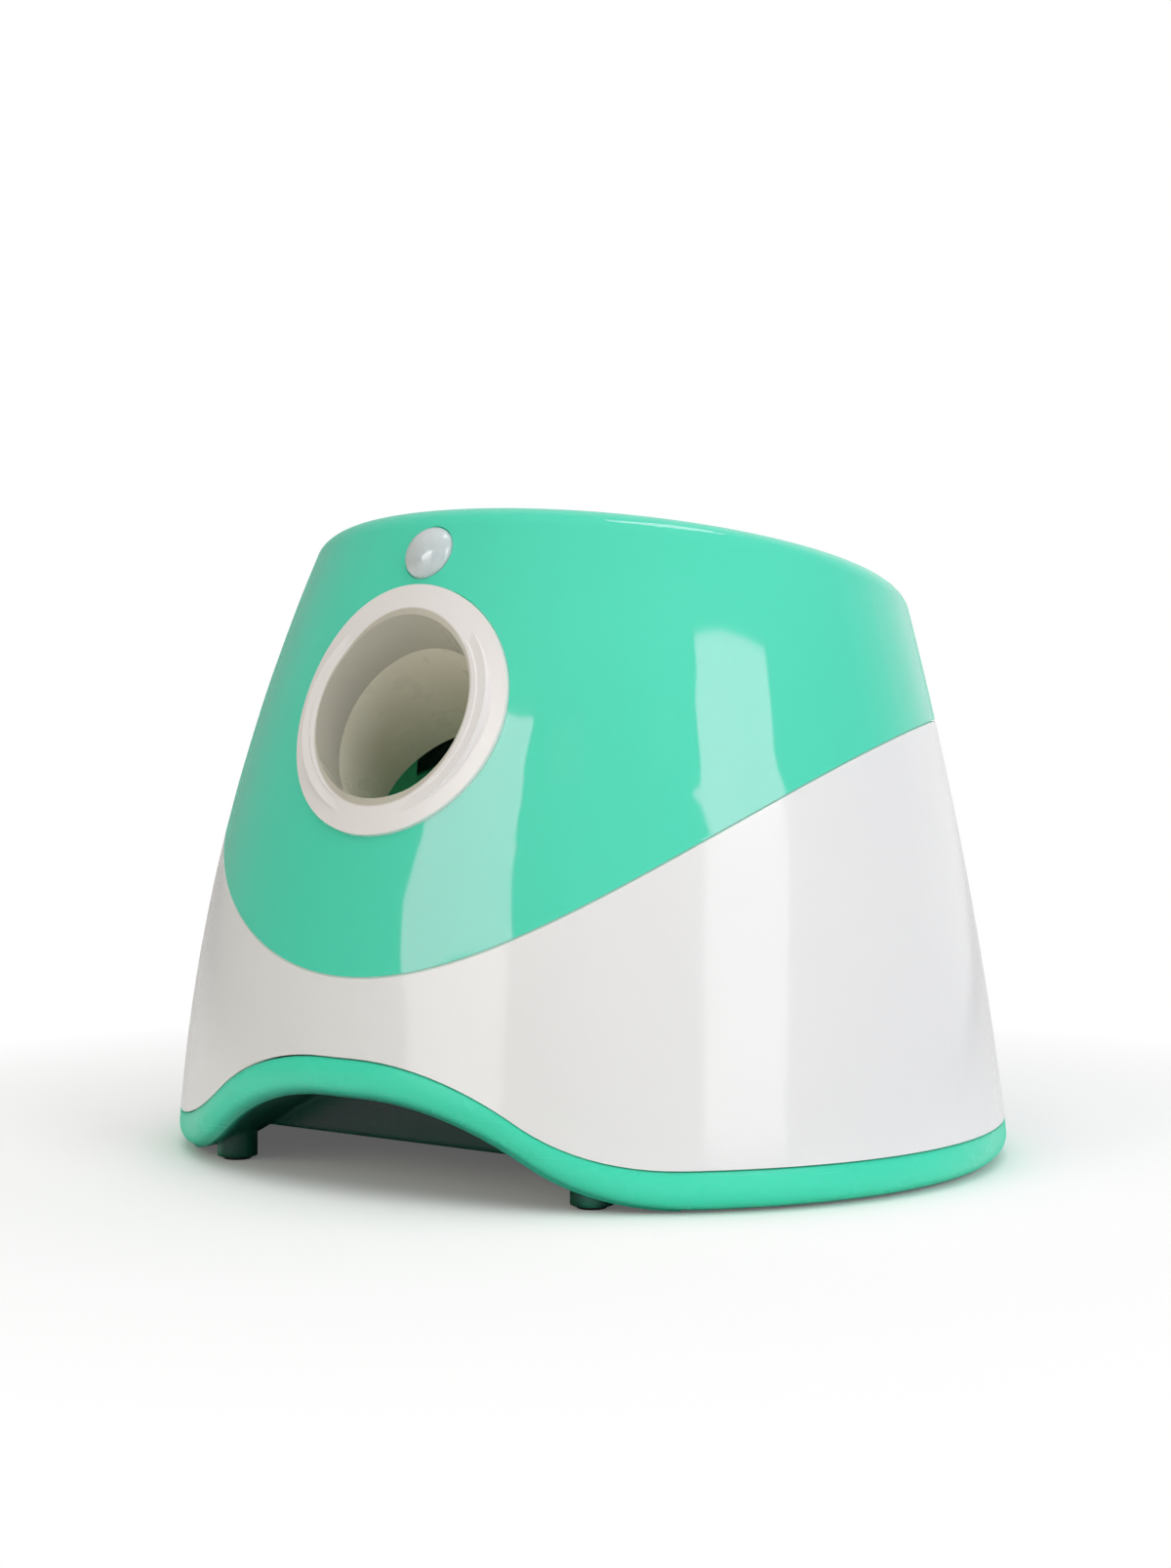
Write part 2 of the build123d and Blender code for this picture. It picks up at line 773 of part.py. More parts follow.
# ---------------------------------------------------------------- hopper
outlet_radius = chute_radius + seam
neck_foot = outlet_height - outlet_drop
hopper_top = crown_plane.offset(-wall - lap_gap)
hopper_flange_wall = 2.0
waist_y = (outlet_y + crown_middle) / 2
waist_plane = Plane(
    origin=(0, waist_y, hopper_waist_height),
    x_dir=(1, 0, 0),
    z_dir=(0, sin(crown_tilt / 2), cos(crown_tilt / 2)),
)
waist_share = 0.56
waist_half_width = waist_share * crown_half_width
waist_half_length = waist_share * crown_half_length
hopper_screw_places = [(-37.0, outlet_y), (37.0, outlet_y)]
hopper_boss_foot = 118.0


def bowl(growth):
    """Hopper bowl from the crown ellipse to the round outlet, grown by a wall."""
    with BuildPart() as form:
        with BuildSketch(hopper_top):
            add(crown_ellipse(rim_inset - growth))
        with BuildSketch(waist_plane):
            Ellipse(waist_half_width + growth, waist_half_length + growth)
        with BuildSketch(Plane.XY.offset(outlet_height)):
            with Locations((0, outlet_y)):
                Circle(outlet_radius + growth)
        loft()
    return form.part


with BuildPart() as hopper:
    with BuildSketch(Plane.XY.offset(hopper_boss_foot)):
        with Locations(*hopper_screw_places):
            Circle(boss_diameter / 2)
    extrude(amount=outlet_height + 2 * hopper_wall - hopper_boss_foot)
    with BuildSketch(Plane.XY.offset(hopper_boss_foot)):
        with Locations(*hopper_screw_places):
            Circle(screw_diameter / 2)
    extrude(amount=short_screw_length, mode=Mode.SUBTRACT)
    add(bowl(hopper_wall))
    with BuildSketch(hopper_top):
        add(crown_ellipse(rim_inset - hopper_flange))
    extrude(amount=-hopper_flange_wall)
    with BuildSketch(Plane.XY.offset(neck_foot)):
        with Locations((0, outlet_y)):
            Circle(outlet_radius + hopper_wall)
    extrude(amount=outlet_drop + seam)
    add(bowl(0), mode=Mode.SUBTRACT)
    with BuildSketch(Plane.XY.offset(neck_foot)):
        with Locations((0, outlet_y)):
            Circle(outlet_radius)
    extrude(amount=outlet_drop + seam, mode=Mode.SUBTRACT)
hopper.part.label = "hopper"


# ---------------------------------------------------------------- nozzle and launch tube
sleeve_radius = bore_radius + tube_flange - 3 * lap_gap
tube_front = bezel_depth + lap_gap


def bore(radius, start, end):
    """Slanted cylinder on the mouth circle, from a start to an end along the launch axis."""
    with BuildPart() as form:
        with BuildSketch(nozzle_plane):
            Circle(radius)
        extrude(amount=end, dir=inward)
        if start < 0:
            with BuildSketch(nozzle_plane):
                Circle(radius)
            extrude(amount=-start, dir=-inward)
    return form.part


through_bore = bore(bore_radius, -tube_length, 2 * tube_length)

with BuildPart() as nozzle_bezel:
    with BuildSketch(nozzle_plane.offset(-room / 8)):
        Circle(bezel_radius)
    extrude(amount=room / 4)
    add(dome(-bezel_proud), mode=Mode.INTERSECT)
    with BuildSketch(nozzle_plane.offset(-bezel_slope)):
        Circle(bezel_radius)
    with BuildSketch(nozzle_plane.offset(lip_proud)):
        Circle(bore_radius + lip_wall)
    loft()
    add(dome(wall), mode=Mode.SUBTRACT)
    with BuildSketch(nozzle_plane.offset(-bezel_depth)):
        Circle(sleeve_radius)
    extrude(amount=bezel_depth)
    add(through_bore, mode=Mode.SUBTRACT)
nozzle_bezel.part.label = "nozzle_bezel"

with BuildPart() as launch_tube:
    add(bore(bore_radius + tube_wall, 0, 2 * tube_length))
    with BuildSketch(launch_plane(tube_length)):
        Rectangle(room / 2, room / 2)
    extrude(amount=2 * tube_length, mode=Mode.SUBTRACT)
    with BuildSketch(nozzle_plane.offset(-tube_front)):
        Rectangle(room / 2, room / 2)
    extrude(amount=2 * tube_length, mode=Mode.SUBTRACT)
    with BuildSketch(nozzle_plane.offset(-tube_front)):
        with Locations((0, -tube_front * tan(launch_slant - nozzle_slant))):
            Circle(bezel_radius)
    extrude(amount=-tube_wall)
    add(through_bore, mode=Mode.SUBTRACT)
launch_tube.part.label = "launch_tube"


# ---------------------------------------------------------------- ball chute and gate
feed_slant = radians(feed_slope)
feed_plane = Plane(
    origin=(0, seat[0], seat[1]), x_dir=(-1, 0, 0), z_dir=(0, cos(feed_slant), sin(feed_slant))
)
chute_top = neck_foot - 2 * lap_gap
hammer_slot_half = arm_side + 1.5
slot_front = seat[0] + 8.0
floor_height = seat[1] - chute_outer
slot_back = pivot[0] + sqrt(tip_radius**2 - (floor_height - pivot[1]) ** 2) + 2.0
gate_y = outlet_y - ball_radius - 1.0
gate_width = 12.0
gate_thickness = 4.0
gate_pivot = (outlet_y + 10.0, outlet_ball[1] - chute_outer - 8.0)
gate_pin_diameter = 3.0
gate_lug_wall = 2.5
gate_finger_top = outlet_ball[1] - ball_radius + 3.0
tube_seam = 0.3
chute_ear_wall = 3.0
chute_ear_reach = 8.0
gate_lug_gap = 0.5
gate_lug_length = 8.0
gate_hub_wall = 2.5
gate_tail_length = 14.0
gate_slot_gap = 1.0
gate_lug_x = gate_width / 2 + gate_lug_gap + gate_lug_wall / 2


def ball_way(radius, rise):
    """Space that a ball sweeps from the hopper outlet to the seat and up towards the mouth."""
    with BuildPart() as form:
        with BuildSketch(feed_plane):
            Circle(radius)
            with Locations((0, rise / 2)):
                Rectangle(2 * radius, rise)
        extrude(amount=feed_length)
        with Locations((0, seat[0], seat[1]), (0, outlet_ball[0], outlet_ball[1])):
            Sphere(radius)
        with BuildSketch(Plane.XY.offset(outlet_ball[1])):
            with Locations((0, outlet_y)):
                Circle(radius)
        extrude(amount=chute_top - outlet_ball[1])
        with BuildSketch(launch_plane(seat_depth)):
            Circle(radius)
        extrude(amount=-(seat_depth - tube_length - tube_seam))
        with BuildSketch(launch_plane(tube_length + tube_seam)):
            Circle(radius)
        extrude(amount=-radius, mode=Mode.SUBTRACT)
    return form.part


with BuildPart() as ball_chute:
    add(ball_way(chute_outer, chute_side_height))
    with BuildSketch(Plane.XY.offset(chute_top)):
        with Locations((0, outlet_y)):
            Rectangle(2 * chute_outer, 3 * chute_outer)
    extrude(amount=room / 4, mode=Mode.SUBTRACT)
    for side in (-1, 1):
        with Locations((side * gate_lug_x, gate_pivot[0],
                        (gate_pivot[1] + outlet_ball[1] - chute_radius) / 2)):
            Box(gate_lug_wall, gate_lug_length,
                outlet_ball[1] - chute_radius - gate_pivot[1] + gate_lug_length)
        with Locations((side * (chute_outer + chute_ear_reach / 2), tower_places[0][1],
                        tower_height + chute_ear_wall / 2)):
            Box(chute_ear_reach + 2 * chute_wall, tower_diameter, chute_ear_wall)
        with Locations((side * (chute_outer + chute_ear_reach / 2), outlet_y,
                        hopper_boss_foot - chute_ear_wall / 2)):
            Box(chute_ear_reach + 4 * chute_wall, boss_diameter, chute_ear_wall)
    add(ball_way(chute_radius, room), mode=Mode.SUBTRACT)
    with BuildSketch(Plane.XY):
        with Locations((0, (slot_front + slot_back) / 2)):
            Rectangle(2 * hammer_slot_half, slot_back - slot_front)
    extrude(amount=seat[1], mode=Mode.SUBTRACT)
    with BuildSketch(Plane.XY):
        with Locations((0, gate_y - gate_thickness / 2)):
            Rectangle(gate_width + 2 * gate_slot_gap, gate_thickness + 7 * gate_slot_gap)
    extrude(amount=outlet_ball[1], mode=Mode.SUBTRACT)
    with BuildSketch(side_plane(-chute_radius / 2, gate_pivot)):
        Circle(gate_pin_diameter / 2)
    extrude(amount=chute_radius, mode=Mode.SUBTRACT)
    with BuildSketch(Plane.XY.offset(tower_height)):
        with Locations(*tower_places, *hopper_screw_places):
            Circle(screw_diameter / 2 + running_fit)
    extrude(amount=hopper_boss_foot, mode=Mode.SUBTRACT)
ball_chute.part.label = "ball_chute"

with BuildPart() as ball_gate:
    with BuildSketch(side_plane(-gate_width / 2)):
        with Locations(gate_pivot):
            Circle(gate_pin_diameter / 2 + gate_hub_wall)
        with Locations(((gate_pivot[0] + gate_y) / 2, gate_pivot[1] - gate_thickness / 2)):
            Rectangle(gate_pivot[0] - gate_y + gate_thickness, gate_thickness)
        with Locations((gate_y, (gate_pivot[1] + gate_finger_top) / 2)):
            Rectangle(gate_thickness, gate_finger_top - gate_pivot[1])
        with Locations((gate_pivot[0] + gate_tail_length / 2 + 2.0, gate_pivot[1])):
            Rectangle(gate_tail_length, 2 * gate_thickness)
        with Locations(gate_pivot):
            Circle(gate_pin_diameter / 2 + running_fit, mode=Mode.SUBTRACT)
    extrude(amount=gate_width)
    fillet(ball_gate.edges().filter_by(Axis.X).group_by(Axis.Z)[-1], gate_thickness / 3)
ball_gate.part.label = "ball_gate"

gate_pin_half = gate_lug_x + gate_lug_wall / 2
gate_pin = rod(side_plane(-gate_pin_half, gate_pivot), gate_pin_diameter / 2, 2 * gate_pin_half)
gate_pin.label = "gate_pin"

with BuildPart() as chute_screws:
    for x, y in tower_places:
        top = Plane(origin=(x, y, tower_height + chute_ear_wall), z_dir=(0, 0, 1))
        add(screw(top, short_screw_length))
    for x, y in hopper_screw_places:
        under = Plane(origin=(x, y, hopper_boss_foot - chute_ear_wall), z_dir=(0, 0, -1))
        add(screw(under, short_screw_length))
chute_screws.part.label = "chute_screws"


# ---------------------------------------------------------------- eye above the nozzle
dome_radius = (lens_radius**2 + lens_dome**2) / (2 * lens_dome)
dome_middle = lens_dome - dome_radius


def on_dome(radius, reach):
    """Point on a dome of the lens at a distance from its axis."""
    return (reach, dome_middle + sqrt(radius**2 - reach**2))


with BuildPart() as sensor_lens:
    hollow_radius = dome_radius - lens_wall
    hollow_reach = lens_radius - lens_wall
    flange_foot = -lens_seat - lens_flange
    with BuildSketch(axial_plane(lens_plane)):
        with BuildLine():
            crown = ThreePointArc((0, lens_dome), on_dome(dome_radius, lens_radius / 2),
                                  (lens_radius, 0))
            hollow = ThreePointArc((0, lens_dome - lens_wall),
                                   on_dome(hollow_radius, hollow_reach / 2),
                                   on_dome(hollow_radius, hollow_reach))
            Polyline(crown @ 1, (lens_radius, -lens_seat), (lens_radius + lens_lip, -lens_seat),
                     (lens_radius + lens_lip, flange_foot), (lens_radius, flange_foot),
                     (lens_radius, -lens_board_depth), (hollow_reach, -lens_board_depth), hollow @ 1)
            Line(crown @ 0, hollow @ 0)
        make_face()
    revolve(axis=Axis(lens_plane.origin, lens_plane.z_dir))
sensor_lens.part.label = "sensor_lens"

sensor_board_size = (26.0, 20.0)
sensor_socket = (6.0, 9.0, 3.0)
sensor_socket_x = 8.0
with BuildPart() as sensor_board:
    with BuildSketch(lens_plane.offset(-lens_board_depth)):
        RectangleRounded(*sensor_board_size, board_corner)
    extrude(amount=-board_wall)
    with BuildSketch(lens_plane.offset(-lens_board_depth - board_wall)):
        with Locations((sensor_socket_x, 0)):
            Rectangle(*sensor_socket[:2])
    extrude(amount=-sensor_socket[2])
sensor_board.part.label = "sensor_board"

with BuildPart() as pir_sensor:
    with BuildSketch(lens_plane.offset(-lens_board_depth)):
        Circle(pir_diameter / 2)
    extrude(amount=pir_rim)
    with BuildSketch(lens_plane.offset(-lens_board_depth + pir_rim)):
        Circle(pir_diameter / 2 - pir_rim)
    extrude(amount=pir_height - pir_rim)
    top_rim = pir_sensor.edges().group_by(Axis(lens_plane.origin, lens_plane.z_dir))[-1]
    fillet(top_rim, pir_rim / 2)
pir_sensor.part.label = "pir_sensor"


# ---------------------------------------------------------------- control panel
power_offset = -18.0
distance_offset = 2.0
led_offsets = [14.0, 20.0, 26.0]
key_flange = 1.2
key_flange_wall = 1.2
key_rounding = 0.8
stem_length = 2.0
stem_radius = 2.0
stem_gap = 0.1
post_diameter = 5.0
post_hole_depth = 4.0
post_places = [(-8.5, 6.5), (10.0, -6.5)]
control_board_size = (60.0, 14.0)


def panel_surface(offset):
    """Height of the panel's face over the panel plane at a sideways offset."""
    share = offset / (half_width(panel_height) - panel_sunk)
    return half_depth(panel_height) * (sqrt(1 - share**2) - 1) - panel_sunk


def key_plane(offset):
    """Panel plane moved sideways to a key or lamp."""
    origin = panel_plane.from_local_coords((offset, 0, 0))
    return Plane(origin=origin, x_dir=panel_plane.x_dir, z_dir=panel_plane.z_dir)


def key_back(offset, diameter):
    """Level of a key's flange, just clear of the curved back of the panel."""
    reach = abs(offset) + diameter / 2 + key_flange
    return panel_surface(reach) - panel_wall - button_clear


board_level = key_back(power_offset, power_diameter) - key_flange_wall - stem_length
board_level -= button_travel + stem_gap + switch_height
stem_level = board_level + switch_height + button_travel + stem_gap

with BuildPart() as control_panel:
    with BuildSketch(panel_plane.offset(-6 * wall)):
        SlotOverall(panel_width, panel_depth)
    extrude(amount=12 * wall)
    add(dome(panel_sunk), mode=Mode.INTERSECT)
    add(dome(panel_sunk + panel_wall), mode=Mode.SUBTRACT)
    with BuildSketch(panel_plane.offset(board_level)):
        with Locations(*post_places):
            Circle(post_diameter / 2)
    extrude(amount=-board_level - panel_wall)
    with BuildSketch(panel_plane.offset(-panel_wall * 4)):
        with Locations((power_offset, 0)):
            Circle(power_diameter / 2 + button_clear)
        with Locations((distance_offset, 0)):
            Circle(distance_diameter / 2 + button_clear)
        with Locations(*[(offset, 0) for offset in led_offsets]):
            Circle(led_diameter / 2 + running_fit)
    extrude(amount=panel_wall * 8, mode=Mode.SUBTRACT)
    with BuildSketch(panel_plane.offset(board_level)):
        with Locations(*post_places):
            Circle(post_screw_diameter / 2)
    extrude(amount=post_hole_depth, mode=Mode.SUBTRACT)
control_panel.part.label = "control_panel"


def push_button(offset, diameter):
    """Round key with a soft rim, a flange behind the panel and a stem over its switch."""
    plane = key_plane(offset)
    back = key_back(offset, diameter)
    face = panel_surface(offset) + button_proud
    with BuildPart() as key:
        with BuildSketch(plane.offset(back)):
            Circle(diameter / 2)
        extrude(amount=face - back)
        rim = key.faces().sort_by(Axis(plane.origin, plane.z_dir))[-1].edges()
        fillet(rim, key_rounding)
        with BuildSketch(plane.offset(back)):
            Circle(diameter / 2 + key_flange)
        extrude(amount=-key_flange_wall)
        with BuildSketch(plane.offset(stem_level)):
            Circle(stem_radius)
        extrude(amount=back - key_flange_wall - stem_level)
    return key.part


power_button = push_button(power_offset, power_diameter)
power_button.label = "power_button"
distance_button = push_button(distance_offset, distance_diameter)
distance_button.label = "distance_button"

with BuildPart() as led_light_pipes:
    for offset in led_offsets:
        with BuildSketch(key_plane(offset).offset(board_level + switch_body_height)):
            Circle(led_diameter / 2)
        extrude(amount=panel_surface(offset) + lip_proud - board_level - switch_body_height)
led_light_pipes.part.label = "led_light_pipes"

with BuildPart() as control_board:
    with BuildSketch(panel_plane.offset(board_level)):
        RectangleRounded(*control_board_size, board_corner)
    extrude(amount=-board_wall)
    with BuildSketch(panel_plane.offset(board_level)):
        with Locations((power_offset, 0), (distance_offset, 0)):
            Rectangle(switch_size, switch_size)
        with Locations(*[(offset, 0) for offset in led_offsets]):
            Circle(led_diameter / 2)
    extrude(amount=switch_body_height)
    with BuildSketch(panel_plane.offset(board_level + switch_body_height)):
        with Locations((power_offset, 0), (distance_offset, 0)):
            Circle(stem_radius)
    extrude(amount=switch_height - switch_body_height)
    with BuildSketch(panel_plane.offset(board_level - board_wall)):
        with Locations(*post_places):
            Circle(screw_diameter / 2)
    extrude(amount=board_wall, mode=Mode.SUBTRACT)
control_board.part.label = "control_board"

with BuildPart() as control_screws:
    for x, y in post_places:
        origin = panel_plane.from_local_coords((x, y, board_level - board_wall))
        under = Plane(origin=origin, x_dir=(1, 0, 0), z_dir=-panel_plane.z_dir)
        with BuildSketch(under):
            Circle(post_screw_head / 2)
        extrude(amount=screw_head_height)
        with BuildSketch(under):
            Circle(post_screw_diameter / 2)
        extrude(amount=-board_wall - post_hole_depth + lap_gap)
control_screws.part.label = "control_screws"


# ---------------------------------------------------------------- power inlet
jack_length = 14.0
jack_flange = 12.0
jack_seat = wall + 1.0
jack_wall = 2.0

with BuildPart() as dc_jack:
    with BuildSketch(jack_plane.offset(-jack_seat)):
        RectangleRounded(jack_flange, jack_flange, board_corner)
    extrude(amount=-jack_length)
    with BuildSketch(jack_plane.offset(-jack_seat)):
        Circle(jack_barrel / 2)
    extrude(amount=jack_seat - 2 * lap_gap)
    with BuildSketch(jack_plane):
        Circle(jack_bore / 2)
    extrude(amount=jack_wall - jack_length, mode=Mode.SUBTRACT)
    with BuildSketch(jack_plane.offset(jack_wall / 2 - jack_length)):
        Circle(jack_pin / 2)
    extrude(amount=jack_length - 2 * jack_wall)
dc_jack.part.label = "dc_jack"


# ---------------------------------------------------------------- battery box
battery_middle = (battery_front + battery_back) / 2
cell_rows = [battery_front + battery_wall + cell_pitch * (row + 0.5) for row in range(cell_row_count)]
cell_middle = (cell_length + 1.0) / 2
contact_x = battery_half_width - battery_wall
cell_tip_radius = 3.6
cell_tip = 1.6
contact_size = (16.0, 14.0)
contact_wall = 0.6
contact_coil_radius = 6.0
contact_taper = 30.0
board_post_places = [(-46.0, 30.0), (-46.0, 84.0), (-14.0, 84.0), (-14.0, 30.0)]
board_post_height = 4.0
grip_count = 4
grip_pitch = 4.0
grip_length = 24.0
grip_width = 1.6
grip_start = 8.0

with BuildPart() as battery_box:
    with BuildSketch(Plane.XY.offset(pan_top)):
        with Locations((0, battery_middle)):
            RectangleRounded(2 * battery_half_width, battery_length, 2 * battery_wall)
    extrude(amount=battery_top - pan_top)
    with BuildSketch(Plane.XY.offset(pan_top)):
        with Locations((0, battery_middle)):
            Rectangle(2 * contact_x, battery_length - 2 * battery_wall)
    extrude(amount=battery_top - battery_wall - pan_top, mode=Mode.SUBTRACT)
    for row in range(1, cell_row_count):
        with BuildSketch(Plane.XY.offset(cell_height + cell_diameter / 4)):
            with Locations((0, battery_front + battery_wall + cell_pitch * row)):
                Rectangle(2 * contact_x, rib_wall / 2)
        extrude(amount=battery_top - battery_wall / 2 - cell_height - cell_diameter / 4)
    with BuildSketch(Plane.XY.offset(battery_top)):
        with Locations(*board_post_places):
            Circle(post_diameter / 2)
    extrude(amount=board_post_height)
battery_box.part.label = "battery_box"

with BuildPart() as battery_cells:
    for y in cell_rows:
        for side in (-1, 1):
            start = side * (cell_middle - cell_length / 2)
            with BuildSketch(Plane(origin=(start, y, cell_height), x_dir=(0, 1, 0),
                                   z_dir=(side, 0, 0))):
                Circle(cell_diameter / 2)
            extrude(amount=cell_length - cell_tip)
            with BuildSketch(Plane(origin=(start + side * (cell_length - cell_tip), y, cell_height),
                                   x_dir=(0, 1, 0), z_dir=(side, 0, 0))):
                Circle(cell_tip_radius)
            extrude(amount=cell_tip)
battery_cells.part.label = "battery_cells"

with BuildPart() as battery_contacts:
    for y in cell_rows:
        for side in (-1, 1):
            contact_back = contact_x - lap_gap
            contact_face = contact_back - contact_wall
            with BuildSketch(Plane(origin=(side * contact_back, y, cell_height),
                                   x_dir=(0, 1, 0), z_dir=(-side, 0, 0))):
                RectangleRounded(*contact_size, board_corner)
            extrude(amount=contact_wall)
            with BuildSketch(Plane(origin=(side * contact_face, y, cell_height),
                                   x_dir=(0, 1, 0), z_dir=(-side, 0, 0))):
                Circle(contact_coil_radius)
            extrude(amount=contact_face - lip_proud - cell_middle - cell_length / 2,
                    taper=contact_taper)
battery_contacts.part.label = "battery_contacts"

with BuildPart() as battery_door:
    with BuildSketch(Plane.XY.offset(pan_height)):
        with Locations((0, (door_front + door_back) / 2)):
            RectangleRounded(2 * door_half_width, door_back - door_front, board_corner)
    extrude(amount=pan_wall)
    hinge_edges = battery_door.edges().filter_by(Axis.X).sort_by(Axis.Y)[:2]
    fillet(hinge_edges, pan_wall / 2 - running_fit)
    for row in range(grip_count):
        with BuildSketch(Plane.XY.offset(pan_height)):
            with Locations((0, door_back - grip_start - grip_pitch * row)):
                SlotOverall(grip_length, grip_width)
        extrude(amount=grip_width / 2, mode=Mode.SUBTRACT)
    with BuildSketch(side_plane(-door_half_width - door_gap - door_pin_diameter,
                                (pin_y, pin_height))):
        Circle(door_pin_diameter / 2)
    extrude(amount=2 * (door_half_width + door_gap + door_pin_diameter))
battery_door.part.label = "battery_door"


# ---------------------------------------------------------------- gearbox frame
screw_rim = 1.5
window_size = (18.0, 7.0)
window_drop = 3.0
motor_screw_lift = 8.0
motor_screw_radius = 1.5
post_radius = 2.0
post_head_radius = 3.2
post_head_wall = 1.5
post_head_gap = 2.5
post_end_gap = 4.0


def gearbox_plate(x, with_stop):
    """Side plate: a hull round the axles and spacers over a foot that stands on the pan."""
    with BuildPart() as plate:
        with BuildSketch(side_plane(x)):
            with Locations(pivot):
                Circle(shaft_diameter / 2 + 2 * plate_rim)
            with Locations(drive_centre, idler_centre):
                Circle(axle_diameter / 2 + plate_rim + layer_gap)
            with Locations(motor_centre):
                Circle(pinion_radius + plate_rim)
            with Locations(*spacer_places):
                Circle(spacer_radius + screw_rim)
            if with_stop:
                with Locations(stop_centre):
                    Circle(stop_pin_radius + screw_rim)
            make_hull()
            foot_length = gearbox_foot_y[1] - gearbox_foot_y[0]
            with Locations(((gearbox_foot_y[0] + gearbox_foot_y[1]) / 2,
                            (pan_top + drive_centre[1]) / 2)):
                Rectangle(foot_length, drive_centre[1] - pan_top)
            with Locations(pivot):
                Circle(shaft_diameter / 2 + running_fit, mode=Mode.SUBTRACT)
            with Locations(drive_centre, idler_centre):
                Circle(axle_diameter / 2, mode=Mode.SUBTRACT)
            with Locations(*spacer_places):
                Circle(screw_diameter / 2, mode=Mode.SUBTRACT)
            if with_stop:
                with Locations(stop_centre):
                    Circle(stop_pin_radius, mode=Mode.SUBTRACT)
            with Locations(((pivot[0] + drive_centre[0]) / 2,
                            (pan_top + drive_centre[1]) / 2 - window_drop)):
                SlotOverall(*window_size, mode=Mode.SUBTRACT)
        extrude(amount=plate_wall)
    return plate.part


with BuildPart() as gearbox_inner_plate:
    add(gearbox_plate(inner_plate_x, True))
gearbox_inner_plate.part.label = "gearbox_inner_plate"

with BuildPart() as gearbox_outer_plate:
    add(gearbox_plate(outer_plate_x, False))
    with BuildSketch(side_plane(outer_plate_x, motor_centre)):
        Circle(pinion_radius + layer_gap)
        with Locations((0, motor_screw_lift), (0, -motor_screw_lift)):
            Circle(motor_screw_radius)
    extrude(amount=plate_wall, mode=Mode.SUBTRACT)
    with BuildSketch(Plane.XY.offset(pan_top)):
        with Locations(*[(outer_plate_end + (gearbox_tab - tab_overlap) / 2, y)
                         for y in tab_screw_y]):
            Rectangle(gearbox_tab + tab_overlap, tab_width)
        with Locations(*gearbox_screw_places[:2]):
            Circle(screw_diameter / 2 + running_fit, mode=Mode.SUBTRACT)
    extrude(amount=tab_wall)
gearbox_outer_plate.part.label = "gearbox_outer_plate"

with BuildPart() as hammer_bracket:
    with BuildSketch(side_plane(bracket_end)):
        with Locations(pivot):
            Circle(shaft_diameter / 2 + 2 * plate_rim)
        with Locations(stop_centre):
            Circle(stop_pin_radius + plate_rim)
        with Locations(*[(y, pan_top + tab_width / 2) for y in bracket_screw_y]):
            Rectangle(tab_width, tab_width)
        with Locations(spring_post):
            Circle(2 * plate_rim)
        make_hull()
        with Locations((0, pan_top / 2)):
            Rectangle(room, pan_top, mode=Mode.SUBTRACT)
        with Locations(pivot):
            Circle(shaft_diameter / 2 + running_fit, mode=Mode.SUBTRACT)
        with Locations(stop_centre):
            Circle(stop_pin_radius, mode=Mode.SUBTRACT)
    extrude(amount=plate_wall)
    with BuildSketch(side_plane(bracket_x, pivot)):
        Circle(shaft_diameter / 2 + plate_rim)
        Circle(shaft_diameter / 2 + running_fit, mode=Mode.SUBTRACT)
    extrude(amount=-bracket_x - hammer_hub_diameter / 2 - layer_gap)
    with BuildSketch(side_plane(bracket_x, spring_post)):
        Circle(post_radius)
    extrude(amount=spring_x - bracket_x + post_end_gap)
    with BuildSketch(side_plane(spring_x + post_head_gap, spring_post)):
        Circle(post_head_radius)
    extrude(amount=post_head_wall)
    with BuildSketch(Plane.XY.offset(pan_top)):
        with Locations(*[(bracket_end - (gearbox_tab - tab_overlap) / 2, y)
                         for y in bracket_screw_y]):
            Rectangle(gearbox_tab + tab_overlap, tab_width)
        with Locations(*gearbox_screw_places[2:]):
            Circle(screw_diameter / 2 + running_fit, mode=Mode.SUBTRACT)
    extrude(amount=tab_wall)
hammer_bracket.part.label = "hammer_bracket"

with BuildPart() as gearbox_spacers:
    for centre in spacer_places:
        with BuildSketch(side_plane(inner_plate_end, centre)):
            Circle(spacer_radius)
            Circle(screw_diameter / 2, mode=Mode.SUBTRACT)
        extrude(amount=outer_plate_x - inner_plate_end)
gearbox_spacers.part.label = "gearbox_spacers"


def outward_plane(x, centre, direction):
    """Plane square to X whose normal runs along +X or -X."""
    return Plane(origin=(x, centre[0], centre[1]), x_dir=(0, 1, 0), z_dir=(direction, 0, 0))


with BuildPart() as gearbox_screws:
    for centre in spacer_places:
        add(screw(outward_plane(outer_plate_end, centre, 1), gearbox_screw_length))
        add(screw(outward_plane(inner_plate_x, centre, -1), gearbox_screw_length))
    for x, y in gearbox_screw_places:
        add(screw(Plane(origin=(x, y, pan_top + tab_wall)), tab_wall + pan_wall))
gearbox_screws.part.label = "gearbox_screws"


# ---------------------------------------------------------------- hammer
arm_end = hammer_reach - head_half
hub_radius = hammer_hub_diameter / 2
tail_angle = strike_angle + 180
tail_pin = polar(pivot, tail_reach, tail_angle)
arm_rounding = 2.0
pocket_rim = 9.0
pad_inset = 0.5
pad_rounding = 0.8


def arm_plane(x):
    """Plane square to X on the pivot, its X axis along the arm at rest."""
    along = Vector(0, cos(radians(strike_angle)), sin(radians(strike_angle)))
    return Plane(origin=(x, pivot[0], pivot[1]), x_dir=along, z_dir=(1, 0, 0))


